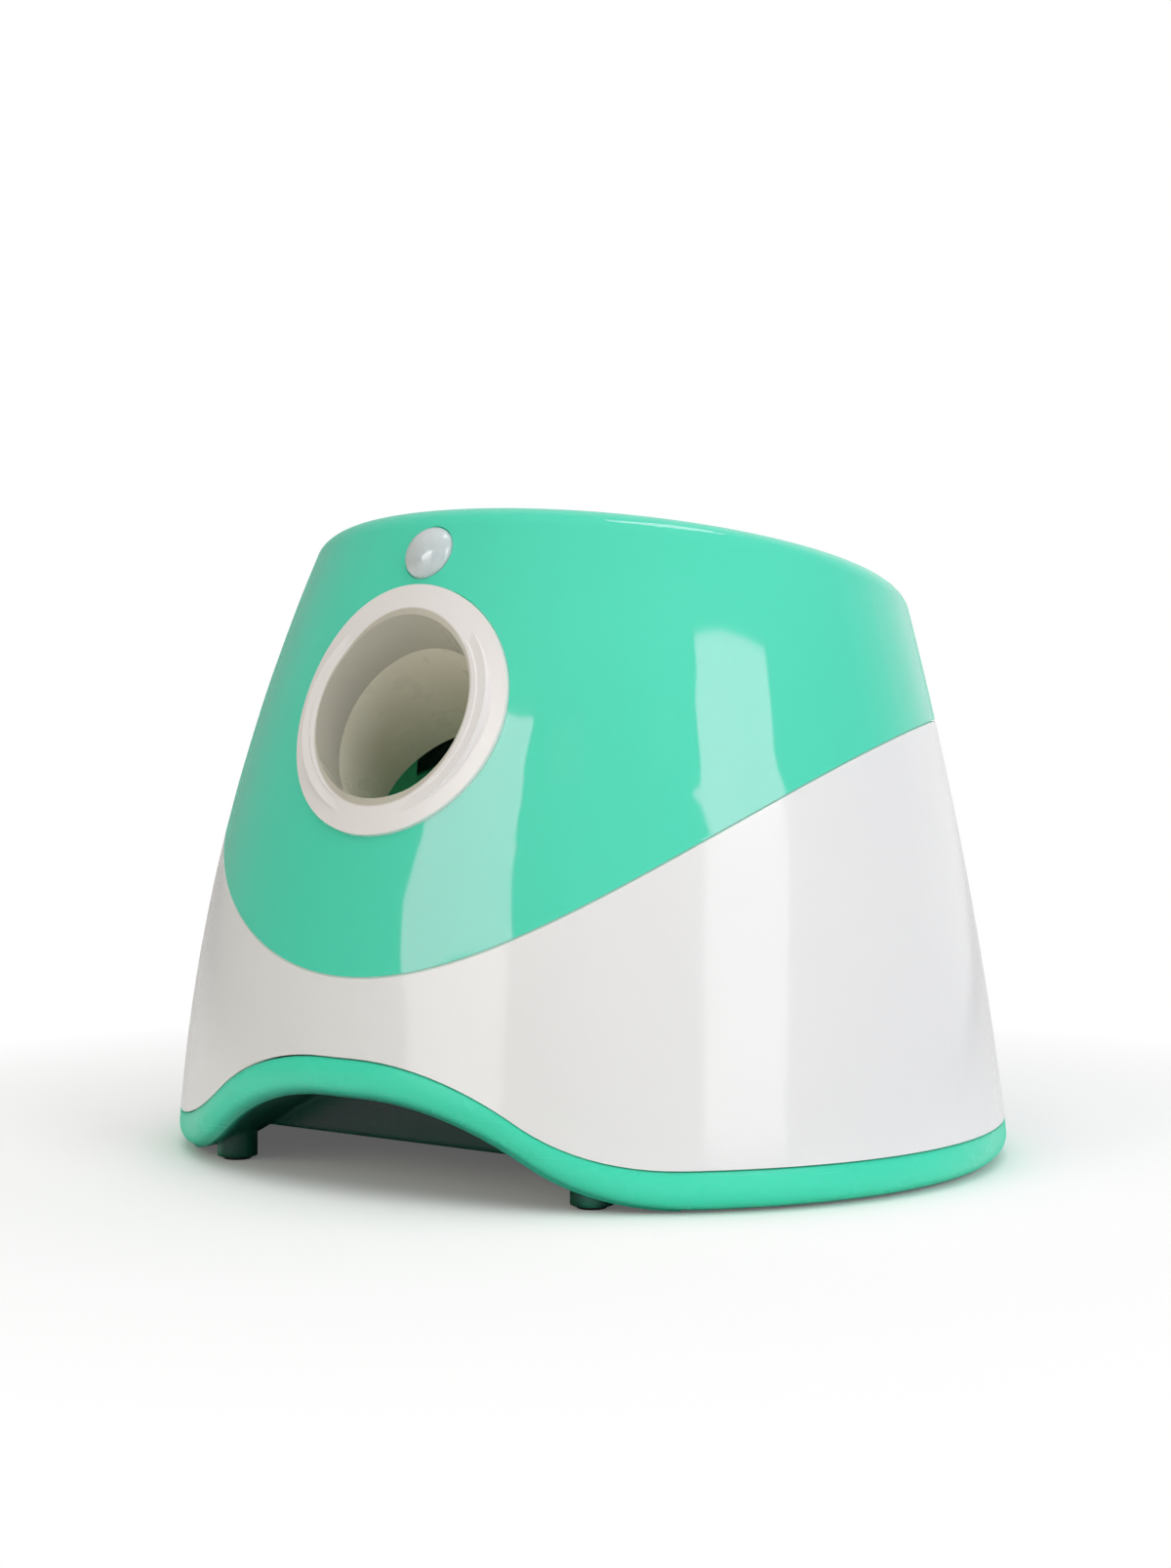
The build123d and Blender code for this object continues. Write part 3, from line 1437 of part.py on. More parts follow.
with BuildPart() as hammer_arm:
    with BuildSketch(arm_plane(-arm_side)):
        Circle(hub_radius)
        with Locations((-tail_reach, 0)):
            Circle(arm_top)
        make_hull()
        with BuildLine():
            Polyline((0, -arm_half), (arm_end, -arm_half), (arm_end, -head_half),
                     (hammer_reach + head_half, -head_half),
                     (hammer_reach + head_half, arm_top), (0, arm_top), close=True)
        make_face()
    extrude(amount=hammer_width)
    fillet(hammer_arm.edges().filter_by(Axis.X).group_by(Axis.Z)[-1], arm_rounding)
    for start in (-arm_side, arm_side - arm_top):
        with BuildSketch(arm_plane(start)):
            with Locations((arm_end / 2 + arm_half, 0)):
                SlotOverall(arm_end - 2 * pocket_rim, arm_half)
        extrude(amount=arm_top, mode=Mode.SUBTRACT)
    with BuildSketch(side_plane(-hub_radius, pivot)):
        Circle(hub_radius)
    extrude(amount=hub_radius - arm_side)
    with BuildSketch(side_plane(-hub_radius, pivot)):
        Circle(shaft_diameter / 2)
    extrude(amount=room / 8, mode=Mode.SUBTRACT)
    with BuildSketch(side_plane(-arm_side, tail_pin)):
        Circle(post_radius)
    extrude(amount=spring_x - post_radius - post_head_wall + arm_side)
    with BuildSketch(side_plane(spring_x - post_radius, tail_pin)):
        Circle(post_head_radius)
    extrude(amount=-post_head_wall)
hammer_arm.part.label = "hammer_arm"

with BuildPart() as hammer_pad:
    with BuildSketch(arm_plane(-arm_side + pad_inset)):
        with Locations((hammer_reach, pad_face - pad_thickness / 2)):
            Rectangle(2 * (head_half - 2 * pad_inset), pad_thickness)
    extrude(amount=hammer_width - 2 * pad_inset)
    fillet(hammer_pad.edges().filter_by(Axis.X).group_by(Axis.Y)[0], pad_rounding)
hammer_pad.part.label = "hammer_pad"

shaft_length = outer_plate_end - bracket_end
hammer_shaft = rod(side_plane(bracket_end, pivot), shaft_diameter / 2, shaft_length)
hammer_shaft.label = "hammer_shaft"

sector_kept = 7
sector_middle = drive_direction + 2 * 360 / sector_teeth
with BuildPart() as sector_gear:
    with BuildSketch(side_plane(sector_x, pivot)):
        add(gear_outline(sector_teeth, drive_module, sector_kept, sector_middle))
        with BuildLine():
            reach = 2 * sector_radius
            start = sector_middle + sector_kept * 180 / sector_teeth
            rim = CenterArc((0, 0), reach, start, 360 - sector_kept * 360 / sector_teeth)
            Polyline(rim @ 1, (0, 0), rim @ 0)
        make_face(mode=Mode.SUBTRACT)
        Circle(hub_radius)
        Circle(shaft_diameter / 2, mode=Mode.SUBTRACT)
    extrude(amount=sector_face)
    with BuildSketch(side_plane(inner_plate_end + side_gap / 3, pivot)):
        Circle(hub_radius - layer_gap)
        Circle(shaft_diameter / 2, mode=Mode.SUBTRACT)
    extrude(amount=sector_x - inner_plate_end)
    with BuildSketch(side_plane(sector_end, pivot)):
        Circle(hub_radius - 2 * layer_gap)
        Circle(shaft_diameter / 2, mode=Mode.SUBTRACT)
    extrude(amount=outer_plate_x - sector_end - side_gap / 3)
sector_gear.part.label = "sector_gear"

with BuildPart() as hammer_stop:
    with BuildSketch(side_plane(-arm_side, stop_centre)):
        Circle(stop_radius)
        Circle(stop_pin_radius, mode=Mode.SUBTRACT)
    extrude(amount=hammer_width)
hammer_stop.part.label = "hammer_stop"

stop_pin = rod(side_plane(bracket_end, stop_centre), stop_pin_radius, inner_plate_end - bracket_end)
stop_pin.label = "stop_pin"


# ---------------------------------------------------------------- gears and motor
gear_rim = 4.0
web_rim = 5.0
brush_size = (4.0, 0.8)
brush_lift = 9.0
brush_length = 5.0
bearing_radius = 5.0
bearing_proud = 3.0
can_rounding = 1.5
motor_boss_height = 1.5
motor_screw_depth = 4.0
motor_screw_head = 2.6
motor_screw_head_height = 0.8
drive_kept = 8
drive_middle = drive_direction + 180 - 2 * 360 / drive_teeth
idler_step = 360 / idler_pinion_teeth
pinion_step = 360 / pinion_teeth

with BuildPart() as drive_gear:
    with BuildSketch(side_plane(sector_x, drive_centre)):
        add(gear_outline(drive_teeth, drive_module, drive_kept, drive_middle))
    extrude(amount=sector_face)
    with BuildSketch(side_plane(sector_end, drive_centre)):
        Circle(drive_radius - web_rim)
    extrude(amount=wheel_x - sector_end)
    with BuildSketch(side_plane(wheel_x, drive_centre)):
        add(gear_outline(wheel_teeth, reduction_module, wheel_teeth,
                         idler_direction + 180 / wheel_teeth * (wheel_teeth - 1)))
    extrude(amount=wheel_face)
    with BuildSketch(side_plane(wheel_end - wheel_face / 2, drive_centre)):
        Circle(wheel_radius - gear_rim)
        Circle(axle_diameter + 2 * layer_gap, mode=Mode.SUBTRACT)
    extrude(amount=wheel_face / 2, mode=Mode.SUBTRACT)
    with BuildSketch(side_plane(inner_plate_end + side_gap / 3, drive_centre)):
        Circle(axle_diameter)
    extrude(amount=outer_plate_x - inner_plate_end - 2 * side_gap / 3)
    with BuildSketch(side_plane(inner_plate_end, drive_centre)):
        Circle(axle_diameter / 2 + running_fit)
    extrude(amount=room / 8, mode=Mode.SUBTRACT)
drive_gear.part.label = "drive_gear"

with BuildPart() as idler_gear:
    with BuildSketch(side_plane(wheel_x - side_gap / 3, idler_centre)):
        add(gear_outline(idler_pinion_teeth, reduction_module, idler_pinion_teeth,
                         idler_direction + 180 + idler_step / 2 * idler_pinion_teeth))
    extrude(amount=idler_x - wheel_x + side_gap / 3)
    with BuildSketch(side_plane(idler_x, idler_centre)):
        add(gear_outline(idler_wheel_teeth, reduction_module, idler_wheel_teeth,
                         motor_direction + 180 / idler_wheel_teeth * (idler_wheel_teeth - 1)))
    extrude(amount=idler_face)
    with BuildSketch(side_plane(inner_plate_end + side_gap / 3, idler_centre)):
        Circle(axle_diameter)
    extrude(amount=outer_plate_x - inner_plate_end - 2 * side_gap / 3)
    with BuildSketch(side_plane(inner_plate_end, idler_centre)):
        Circle(axle_diameter / 2 + running_fit)
    extrude(amount=room / 8, mode=Mode.SUBTRACT)
idler_gear.part.label = "idler_gear"

with BuildPart() as motor_pinion:
    with BuildSketch(side_plane(idler_x - side_gap / 3, motor_centre)):
        add(gear_outline(pinion_teeth, reduction_module, pinion_teeth,
                         motor_direction + 180 + pinion_step / 2 * pinion_teeth))
        Circle(motor_shaft_diameter / 2, mode=Mode.SUBTRACT)
    extrude(amount=idler_face + side_gap / 3)
motor_pinion.part.label = "motor_pinion"

axle_length = outer_plate_end - inner_plate_x
drive_axle = rod(side_plane(inner_plate_x, drive_centre), axle_diameter / 2, axle_length)
drive_axle.label = "drive_axle"
idler_axle = rod(side_plane(inner_plate_x, idler_centre), axle_diameter / 2, axle_length)
idler_axle.label = "idler_axle"

shaft_in_motor = 8.0
motor_shaft = rod(side_plane(idler_x - side_gap / 3, motor_centre), motor_shaft_diameter / 2,
                  outer_plate_end + shaft_in_motor - idler_x + side_gap / 3)
motor_shaft.label = "motor_shaft"

with BuildPart() as motor:
    with BuildSketch(side_plane(outer_plate_end, motor_centre)):
        Circle(motor_diameter / 2)
        with Locations((0, motor_screw_lift), (0, -motor_screw_lift)):
            Circle(motor_screw_radius, mode=Mode.SUBTRACT)
    extrude(amount=motor_length)
    can_rims = motor.edges().filter_by(GeomType.CIRCLE).sort_by(SortBy.RADIUS)[-2:]
    fillet(can_rims, can_rounding)
    with BuildSketch(side_plane(outer_plate_end + motor_length, motor_centre)):
        Circle(bearing_radius)
    extrude(amount=bearing_proud)
    with BuildSketch(side_plane(outer_plate_end, motor_centre)):
        Circle(bearing_radius)
    extrude(amount=-motor_boss_height)
    with BuildSketch(side_plane(outer_plate_x, motor_centre)):
        Circle(motor_shaft_diameter / 2 + running_fit)
    extrude(amount=plate_wall + shaft_in_motor + side_gap, mode=Mode.SUBTRACT)
    with BuildSketch(side_plane(outer_plate_end + motor_length, motor_centre)):
        with Locations((0, brush_lift), (0, -brush_lift)):
            Rectangle(*brush_size)
    extrude(amount=brush_length)
motor.part.label = "motor"

with BuildPart() as motor_screws:
    for lift in (motor_screw_lift, -motor_screw_lift):
        place = (motor_centre[0], motor_centre[1] + lift)
        with BuildSketch(side_plane(outer_plate_x, place)):
            Circle(motor_screw_radius)
        extrude(amount=plate_wall + motor_screw_depth)
        with BuildSketch(side_plane(outer_plate_x, place)):
            Circle(motor_screw_head)
        extrude(amount=-motor_screw_head_height)
motor_screws.part.label = "motor_screws"


# ---------------------------------------------------------------- hammer spring
wire_radius = spring_wire / 2
coil_radius = spring_diameter / 2 - wire_radius
loop_radius = post_radius + wire_radius + 3 * running_fit
loop_arc = 300
coil_lead = 4.0
spring_start = Vector(spring_x, tail_pin[0], tail_pin[1])
spring_end = Vector(spring_x, spring_post[0], spring_post[1])
spring_way = (spring_end - spring_start).normalized()
spring_side = Vector(1, 0, 0).cross(spring_way)
coil_start = spring_start + spring_way * (loop_radius + coil_lead)
coil_end = spring_end - spring_way * (loop_radius + coil_lead)
coil_length = (coil_end - coil_start).length


def wire(start, end):
    """Straight length of the spring's wire."""
    with BuildPart() as piece:
        with BuildSketch(Plane(origin=start, z_dir=end - start)):
            Circle(wire_radius)
        extrude(amount=(end - start).length)
    return piece.part


with BuildPart() as hammer_spring:
    with BuildLine() as coil:
        Helix(pitch=coil_length / spring_turns, height=coil_length, radius=coil_radius,
              center=coil_start, direction=spring_way)
    with BuildSketch(coil.line ^ 0):
        Circle(wire_radius)
    sweep()
    for pin, inner, way in ((spring_start, coil.line @ 0, 1), (spring_end, coil.line @ 1, -1)):
        crest = pin + spring_way * way * loop_radius
        add(wire(crest, inner))
        with BuildSketch(Plane(origin=crest, x_dir=spring_way, z_dir=spring_side)):
            Circle(wire_radius)
        revolve(axis=Axis(pin, (1, 0, 0)), revolution_arc=loop_arc)
hammer_spring.part.label = "hammer_spring"


# ---------------------------------------------------------------- main board
main_board_level = battery_top + board_post_height
main_board_size = (42.0, 64.0)
main_board_middle = (-30.0, 57.0)
chip_places = [((-40.0, 45.0), (11.0, 11.0)), ((-22.0, 50.0), (8.0, 14.0))]
chip_height = 1.6
capacitor_places = [((-38.0, 70.0), 5.0), ((-20.0, 72.0), 4.0)]
capacitor_height = 8.0
socket_pitch = (14.0, 50.0)
socket_size = (7.0, 4.5)
socket_height = 5.0
main_board_face = Plane.XY.offset(main_board_level + board_wall)

with BuildPart() as main_board:
    with BuildSketch(Plane.XY.offset(main_board_level)):
        with Locations(main_board_middle):
            RectangleRounded(*main_board_size, board_corner)
    extrude(amount=board_wall)
    with BuildSketch(main_board_face):
        for place, size in chip_places:
            with Locations(place):
                Rectangle(*size)
    extrude(amount=chip_height)
    with BuildSketch(main_board_face):
        for place, radius in capacitor_places:
            with Locations(place):
                Circle(radius)
    extrude(amount=capacitor_height)
    with BuildSketch(main_board_face):
        with GridLocations(*socket_pitch, 2, 2):
            with Locations(main_board_middle):
                Rectangle(*socket_size)
    extrude(amount=socket_height)
main_board.part.label = "main_board"


# ---------------------------------------------------------------- write the pieces
pieces = [
    upper_shell.part, lower_shell.part, base.part, rubber_feet.part, base_screws.part,
    shell_screws.part, hopper.part, nozzle_bezel.part, launch_tube.part, ball_chute.part,
    ball_gate.part, gate_pin, chute_screws.part, sensor_lens.part, sensor_board.part,
    pir_sensor.part, control_panel.part, power_button, distance_button, led_light_pipes.part,
    control_board.part, control_screws.part, dc_jack.part, battery_box.part,
    battery_cells.part, battery_contacts.part, battery_door.part, gearbox_inner_plate.part,
    gearbox_outer_plate.part, hammer_bracket.part, gearbox_spacers.part, gearbox_screws.part,
    hammer_arm.part, hammer_pad.part, hammer_shaft, sector_gear.part, hammer_spring.part,
    hammer_stop.part, stop_pin, drive_gear.part, drive_axle, idler_gear.part, idler_axle,
    motor_pinion.part, motor_shaft, motor.part, motor_screws.part, main_board.part,
]

os.makedirs("parts", exist_ok=True)
for piece in pieces:
    export_step(piece, f"parts/{piece.label}.step")
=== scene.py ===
# %% [markdown]
# # Automatic dog ball launcher
# This lesson dresses a ball launcher for dogs. The CAD model is loaded first. It is a fixed
# frame: every node already has its place, its size and the body that it moves with. Blender then
# adds what the eye sees, such as glossy moulded plastic, the frosted sensor lens and soft studio
# light.

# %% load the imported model
import math
import bpy
from mathutils import Matrix, Vector


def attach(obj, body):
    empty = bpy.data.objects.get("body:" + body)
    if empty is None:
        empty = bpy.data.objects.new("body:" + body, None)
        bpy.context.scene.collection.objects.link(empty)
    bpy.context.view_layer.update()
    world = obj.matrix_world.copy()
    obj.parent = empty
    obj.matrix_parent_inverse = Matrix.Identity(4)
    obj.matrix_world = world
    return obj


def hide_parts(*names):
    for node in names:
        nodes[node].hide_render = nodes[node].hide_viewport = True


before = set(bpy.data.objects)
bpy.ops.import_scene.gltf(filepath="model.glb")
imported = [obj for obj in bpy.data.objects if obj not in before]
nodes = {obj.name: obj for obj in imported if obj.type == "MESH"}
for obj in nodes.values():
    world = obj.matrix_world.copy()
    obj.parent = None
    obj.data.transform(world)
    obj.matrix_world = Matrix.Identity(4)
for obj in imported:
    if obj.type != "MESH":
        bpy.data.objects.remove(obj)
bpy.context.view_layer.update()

MM = 0.001

# %% [markdown]
# ## Camera
# A product picture is taken from a little above the middle of the body with a long lens, so that
# the walls stay upright. The camera looks level and stands 36 degrees round from the nozzle. A
# small shift lowers the frame, as a view camera does, where a tilt would make the walls lean.

# %% camera
CAMERA_ANGLE = math.radians(36.0)
CAMERA_DISTANCE = 0.801
CAMERA_HEIGHT = 0.1333
FOCAL_PIXELS = 2607.7
PICTURE_WIDTH, PICTURE_HEIGHT = 1200, 1607
AXIS_COLUMN, HORIZON_ROW = 602.5, 733.8
SENSOR_WIDTH = 36.0

camera_data = bpy.data.cameras.new("camera")
camera_data.sensor_width = SENSOR_WIDTH
camera_data.lens = FOCAL_PIXELS / PICTURE_HEIGHT * SENSOR_WIDTH
camera_data.shift_x = (PICTURE_WIDTH / 2 - AXIS_COLUMN) / PICTURE_HEIGHT
camera_data.shift_y = (HORIZON_ROW - PICTURE_HEIGHT / 2) / PICTURE_HEIGHT
camera = bpy.data.objects.new("camera", camera_data)
bpy.context.scene.collection.objects.link(camera)
camera.location = (
    CAMERA_DISTANCE * math.sin(CAMERA_ANGLE),
    -CAMERA_DISTANCE * math.cos(CAMERA_ANGLE),
    CAMERA_HEIGHT,
)
camera.rotation_euler = (math.radians(90.0), 0.0, CAMERA_ANGLE)
bpy.context.scene.camera = camera
print("lens", round(camera_data.lens, 2), "shift", round(camera_data.shift_y, 4))

# %% [markdown]
# ## Node helpers
# Every finish here is made from nodes, so nothing is read from a picture. The helpers below keep
# each material short. The first class serves any node tree: it makes a node, wires two sockets,
# calculates with them and maps a value to a range. The second one adds what a material needs:
# noise, mixed colours, a bump, and the wiring to the shader.

# %% node helpers
bpy.context.scene.view_settings.view_transform = "Standard"


def linear(red, green, blue):
    """Linear colour of a display colour given in 0 to 255."""
    def one(value):
        share = value / 255
        return share / 12.92 if share <= 0.04045 else ((share + 0.055) / 1.055) ** 2.4
    return (one(red), one(green), one(blue), 1.0)


class Nodes:
    """A node tree under construction."""

    def __init__(self, tree):
        self.tree = tree

    def node(self, kind, sockets=None, **settings):
        """Makes a node. Sockets are filled by name or number, settings are its own fields."""
        made = self.tree.nodes.new(kind)
        for name, value in settings.items():
            setattr(made, name, value)
        for name, value in (sockets or {}).items():
            made.inputs[name].default_value = value
        return made

    def link(self, start, end):
        """Wires an output to an input."""
        self.tree.links.new(start, end)

    def feed(self, end, value):
        """Fills an input socket with a constant, or wires it to another socket."""
        if isinstance(value, (float, tuple)):
            end.default_value = value
        else:
            self.link(value, end)

    def calculate(self, operation, first, second):
        """One sum of two values, each a socket or a plain number."""
        made = self.node("ShaderNodeMath", operation=operation)
        self.feed(made.inputs[0], first)
        self.feed(made.inputs[1], second)
        return made.outputs[0]

    def measure(self, operation, vector, other=None, result="Value"):
        """One sum of a vector socket, with a fixed second vector where it needs one."""
        made = self.node("ShaderNodeVectorMath", operation=operation)
        if other is not None:
            made.inputs[1].default_value = other
        self.link(vector, made.inputs[0])
        return made.outputs[result]

    def spread(self, value, low, high, start=0.3, end=0.7, ease="LINEAR"):
        """Maps a value between start and end to the range low to high."""
        made = self.node("ShaderNodeMapRange",
                         {"From Min": start, "From Max": end, "To Min": low, "To Max": high},
                         interpolation_type=ease)
        self.link(value, made.inputs["Value"])
        return made.outputs["Result"]


class Finish(Nodes):
    """A material under construction."""

    def __init__(self, name):
        self.material = bpy.data.materials.new(name)
        self.material.use_nodes = True
        super().__init__(self.material.node_tree)
        self.shader = self.tree.nodes["Principled BSDF"]
        self.place = self.node("ShaderNodeTexCoord").outputs["Object"]

    def set(self, **sockets):
        """Fills sockets of the shader with constants."""
        for name, value in sockets.items():
            self.shader.inputs[name.replace("_", " ")].default_value = value

    def wire(self, name, value):
        """Wires a socket to one of the shader's inputs."""
        self.link(value, self.shader.inputs[name])

    def colour_now(self):
        """The socket that feeds the base colour at this moment."""
        return self.shader.inputs["Base Color"].links[0].from_socket

    def stretched(self, scale, turn=(0.0, 0.0, 0.0)):
        """The place on the body, stretched along its axes and turned."""
        made = self.node("ShaderNodeMapping", {"Scale": scale, "Rotation": turn})
        self.link(self.place, made.inputs["Vector"])
        return made.outputs["Vector"]

    def noise(self, scale, detail=3.0, roughness=0.5, place=None):
        """Noise in metres: scale counts the waves in one metre."""
        made = self.node("ShaderNodeTexNoise",
                         {"Scale": scale, "Detail": detail, "Roughness": roughness})
        self.link(place or self.place, made.inputs["Vector"])
        return made.outputs["Fac"]

    def mix(self, share, first, second):
        """Mixes two colours, each a tuple or a socket, by a share socket."""
        made = self.node("ShaderNodeMix", data_type="RGBA")
        self.link(share, made.inputs[0])
        self.feed(made.inputs[6], first)
        self.feed(made.inputs[7], second)
        return made.outputs[2]

    def bump(self, height, distance, before=None):
        """Bump of a depth in metres, on top of an earlier normal where there is one."""
        made = self.node("ShaderNodeBump", {"Distance": distance, "Strength": 1.0})
        self.link(height, made.inputs["Height"])
        if before is not None:
            self.link(before, made.inputs["Normal"])
        self.wire("Normal", made.outputs["Normal"])

    def surface(self, shader):
        """Replaces the shader that the material shows."""
        self.link(shader, self.tree.nodes["Material Output"].inputs["Surface"])


print("helpers ready")

# %% [markdown]
# ## Glossy moulded plastic
# The shells are ABS moulded in a polished tool. The colour is even, but the surface isn't a
# perfect mirror: flow in the mould leaves a very shallow ripple that makes reflections waver, and
# handling leaves fine hairlines and a little dust. The gloss softens at glancing angles. A faint
# glow is painted into the narrow gaps, so a seam never turns black.
#
# One recipe makes all five plastics. The skirt of the base is satin and its edge is worn round.
# Behind its lip, shade is painted into its colour. The mouth of the nozzle has painted shade, a
# warm grey darker than the launch tube, up to its rounded lip.

# %% sizes and tones of the plastics
# Waves are counted in one metre, and lengths are in metres.
ABS_IOR = 1.53
FLOW_WAVES = 9.0
RIPPLE_WAVES = 48.0
SMEAR_WAVES = 38.0
HAIRLINE_STRETCH = (18.0, 22.0, 900.0)
HAIRLINE_TURN = (0.5, 0.3, 0.2)
DUST_WAVES = 2600.0
DUST_SHARE = 0.16
DUST = linear(225, 225, 220)
GLANCE_ROUGHNESS = 0.3
GLANCE_START, GLANCE_END = 0.72, 0.95

SKIRT_HALF_WIDTH = 0.133
SKIRT_HALF_DEPTH = 0.1216
SKIRT_SPECULAR = 0.3
# Painted shade: the dark green that stands for the shade behind the skirt's lip.
SKIRT_PAINTED_SHADE = linear(7, 38, 25)
EDGE_BLEND = 0.002

BORE_MOUTH = (0.0, -0.09503, 0.1354)
BORE_TILT = math.radians(40.0)
BORE_WAY = (0.0, math.cos(BORE_TILT), -math.sin(BORE_TILT))
THROAT_RADIUS = 0.02743
LIP_RADIUS = 0.0281
# Painted shade: the grey that stands for the shade inside the bore's mouth.
THROAT_PAINTED_SHADE = linear(190, 185, 172)

GREEN_GLINT = (1.0, 0.38, 0.75, 1.0)
CROWN_SPECULAR = 0.66
print("bore tilt", round(math.degrees(BORE_TILT), 1), "degrees")

# %% painted shade and glow that follow the place on the body
def painted_recess_shade(finish, start=0.925, end=0.975, depth=0.9):
    """Painted shade on the skirt behind its lip. The reach is 1 on an ellipse just outside it."""
    flat = finish.stretched((1 / SKIRT_HALF_WIDTH, 1 / SKIRT_HALF_DEPTH, 0.0))
    shade = finish.spread(finish.measure("LENGTH", flat), depth, 0.0, start, end)
    finish.wire("Base Color", finish.mix(shade, finish.colour_now(), SKIRT_PAINTED_SHADE))


def painted_gap_glow(finish, reach=0.0015, strength=0.15, closed=0.15, clear_at=0.7):
    """Paints a faint glow of its own colour into narrow gaps, where the plastic is enclosed."""
    open_sky = finish.node("ShaderNodeAmbientOcclusion", {"Distance": reach}, samples=4)
    glow = finish.spread(open_sky.outputs["AO"], strength, 0.0, closed, clear_at)
    finish.wire("Emission Color", finish.colour_now())
    finish.wire("Emission Strength", glow)


def painted_throat_shade(finish):
    """Paints shade on the plastic nearest to the bore's axis: a grey darker than the launch tube.
    """
    from_mouth = finish.measure("SUBTRACT", finish.place, BORE_MOUTH, "Vector")
    across = finish.measure("CROSS_PRODUCT", from_mouth, BORE_WAY, "Vector")
    share = finish.spread(finish.measure("LENGTH", across), 1.0, 0.0, THROAT_RADIUS, LIP_RADIUS)
    finish.wire("Base Color", finish.mix(share, finish.colour_now(), THROAT_PAINTED_SHADE))


print("shades ready")

# %% plastic recipe
def moulded(name, colour, shade, roughness, ripple=0.00006, wear=0.03, kind="shell"):
    """Polished ABS: a colour with a faint flow shade, ripple, hairlines and dust."""
    finish = Finish(name)
    flow = finish.spread(finish.noise(FLOW_WAVES, 2.0), 0.0, 1.0)
    tint = finish.mix(flow, linear(*colour), linear(*shade))
    specks = finish.noise(DUST_WAVES, 2.0, 0.6)
    dust = finish.spread(specks, 0.0, DUST_SHARE, start=0.70, end=0.78)
    finish.wire("Base Color", finish.mix(dust, tint, DUST))
    lines = finish.noise(1.0, 4.0, 0.65, finish.stretched(HAIRLINE_STRETCH, HAIRLINE_TURN))
    hairs = finish.spread(lines, 0.0, wear, start=0.60, end=0.75)
    smears = finish.spread(finish.noise(SMEAR_WAVES, 4.0), 0.0, wear)
    worn = finish.calculate("ADD", finish.calculate("ADD", hairs, smears), roughness)
    facing = finish.node("ShaderNodeLayerWeight", {"Blend": 0.5}).outputs["Facing"]
    glance = finish.spread(facing, 0.0, GLANCE_ROUGHNESS, GLANCE_START, GLANCE_END)
    finish.wire("Roughness", finish.calculate("ADD", worn, glance))
    finish.set(IOR=ABS_IOR)
    worn_edge = None
    if kind == "skirt":
        rounded = finish.node("ShaderNodeBevel", {"Radius": EDGE_BLEND}, samples=6)
        worn_edge = rounded.outputs["Normal"]
        # Painted shade behind the skirt's lip.
        painted_recess_shade(finish)
        finish.set(Specular_IOR_Level=SKIRT_SPECULAR)
    else:
        # Painted glow in the narrow gaps of the other plastics.
        painted_gap_glow(finish)
    if kind == "mouth":
        # Painted shade in the mouth of the nozzle.
        painted_throat_shade(finish)
    finish.bump(finish.noise(RIPPLE_WAVES, 1.0), ripple, worn_edge)
    return finish


# %% the five plastics
crown = moulded("green_gloss", (84, 222, 189), (78, 217, 183), 0.048, wear=0.02)
hopper_plastic = moulded("green_base_gloss", (66, 207, 162), (60, 201, 155), 0.12)
skirt = moulded("green_skirt_satin", (69, 226, 188), (63, 221, 182), 0.26, kind="skirt")
for finish in (crown, hopper_plastic, skirt):
    finish.set(Specular_Tint=GREEN_GLINT)
crown.set(Specular_IOR_Level=CROWN_SPECULAR)
green, green_base, green_skirt = crown.material, hopper_plastic.material, skirt.material
white = moulded("white_gloss", (234, 233, 233), (231, 230, 231), 0.09).material
bezel_white = moulded("bezel_satin", (234, 230, 229), (230, 226, 225), 0.22, ripple=0.00003,
                      kind="mouth").material
print("plastics", [m.name for m in (green, green_base, green_skirt, white, bezel_white)])

# %% [markdown]
# ## The other finishes
# The rest of the launcher needs fewer words each. Matt plastic has a spark-eroded grain, rubber is
# dark and dull with a coarser one, and metal parts show fine brushing. One recipe with a grain
# size serves all the matt ones. The frosted lens lets light in and scatters it, and the light
# pipes are clear.

# %% matt plastics, rubber and metals
TONE_WAVES = 30.0
MATT_WAVES = 120.0
BRUSHED_RUN = (40.0, 2600.0, 2600.0)
BRUSH_DEPTH = 0.000008


def toned(finish, value, colour, shade):
    """Base colour that drifts between two display colours with a noise value."""
    share = finish.spread(value, 0.0, 1.0)
    finish.wire("Base Color", finish.mix(share, linear(*colour), linear(*shade)))


def matt(name, colour, shade, roughness=0.5, grain=2200.0, depth=0.00002):
    """A surface with an eroded grain, in waves to the metre, and a slow change of tone."""
    finish = Finish(name)
    toned(finish, finish.noise(TONE_WAVES, 3.0), colour, shade)
    worn = finish.noise(MATT_WAVES, 4.0)
    finish.wire("Roughness", finish.spread(worn, roughness - 0.06, roughness + 0.08))
    finish.bump(finish.noise(grain, 2.0), depth)
    return finish.material


def brushed(name, colour, shade, roughness=0.28):
    """Metal with fine lines along one axis."""
    finish = Finish(name)
    lines = finish.noise(1.0, 3.0, place=finish.stretched(BRUSHED_RUN))
    toned(finish, lines, colour, shade)
    finish.wire("Roughness", finish.spread(lines, roughness - 0.08, roughness + 0.12))
    finish.bump(lines, BRUSH_DEPTH)
    finish.set(Metallic=1.0)
    return finish.material


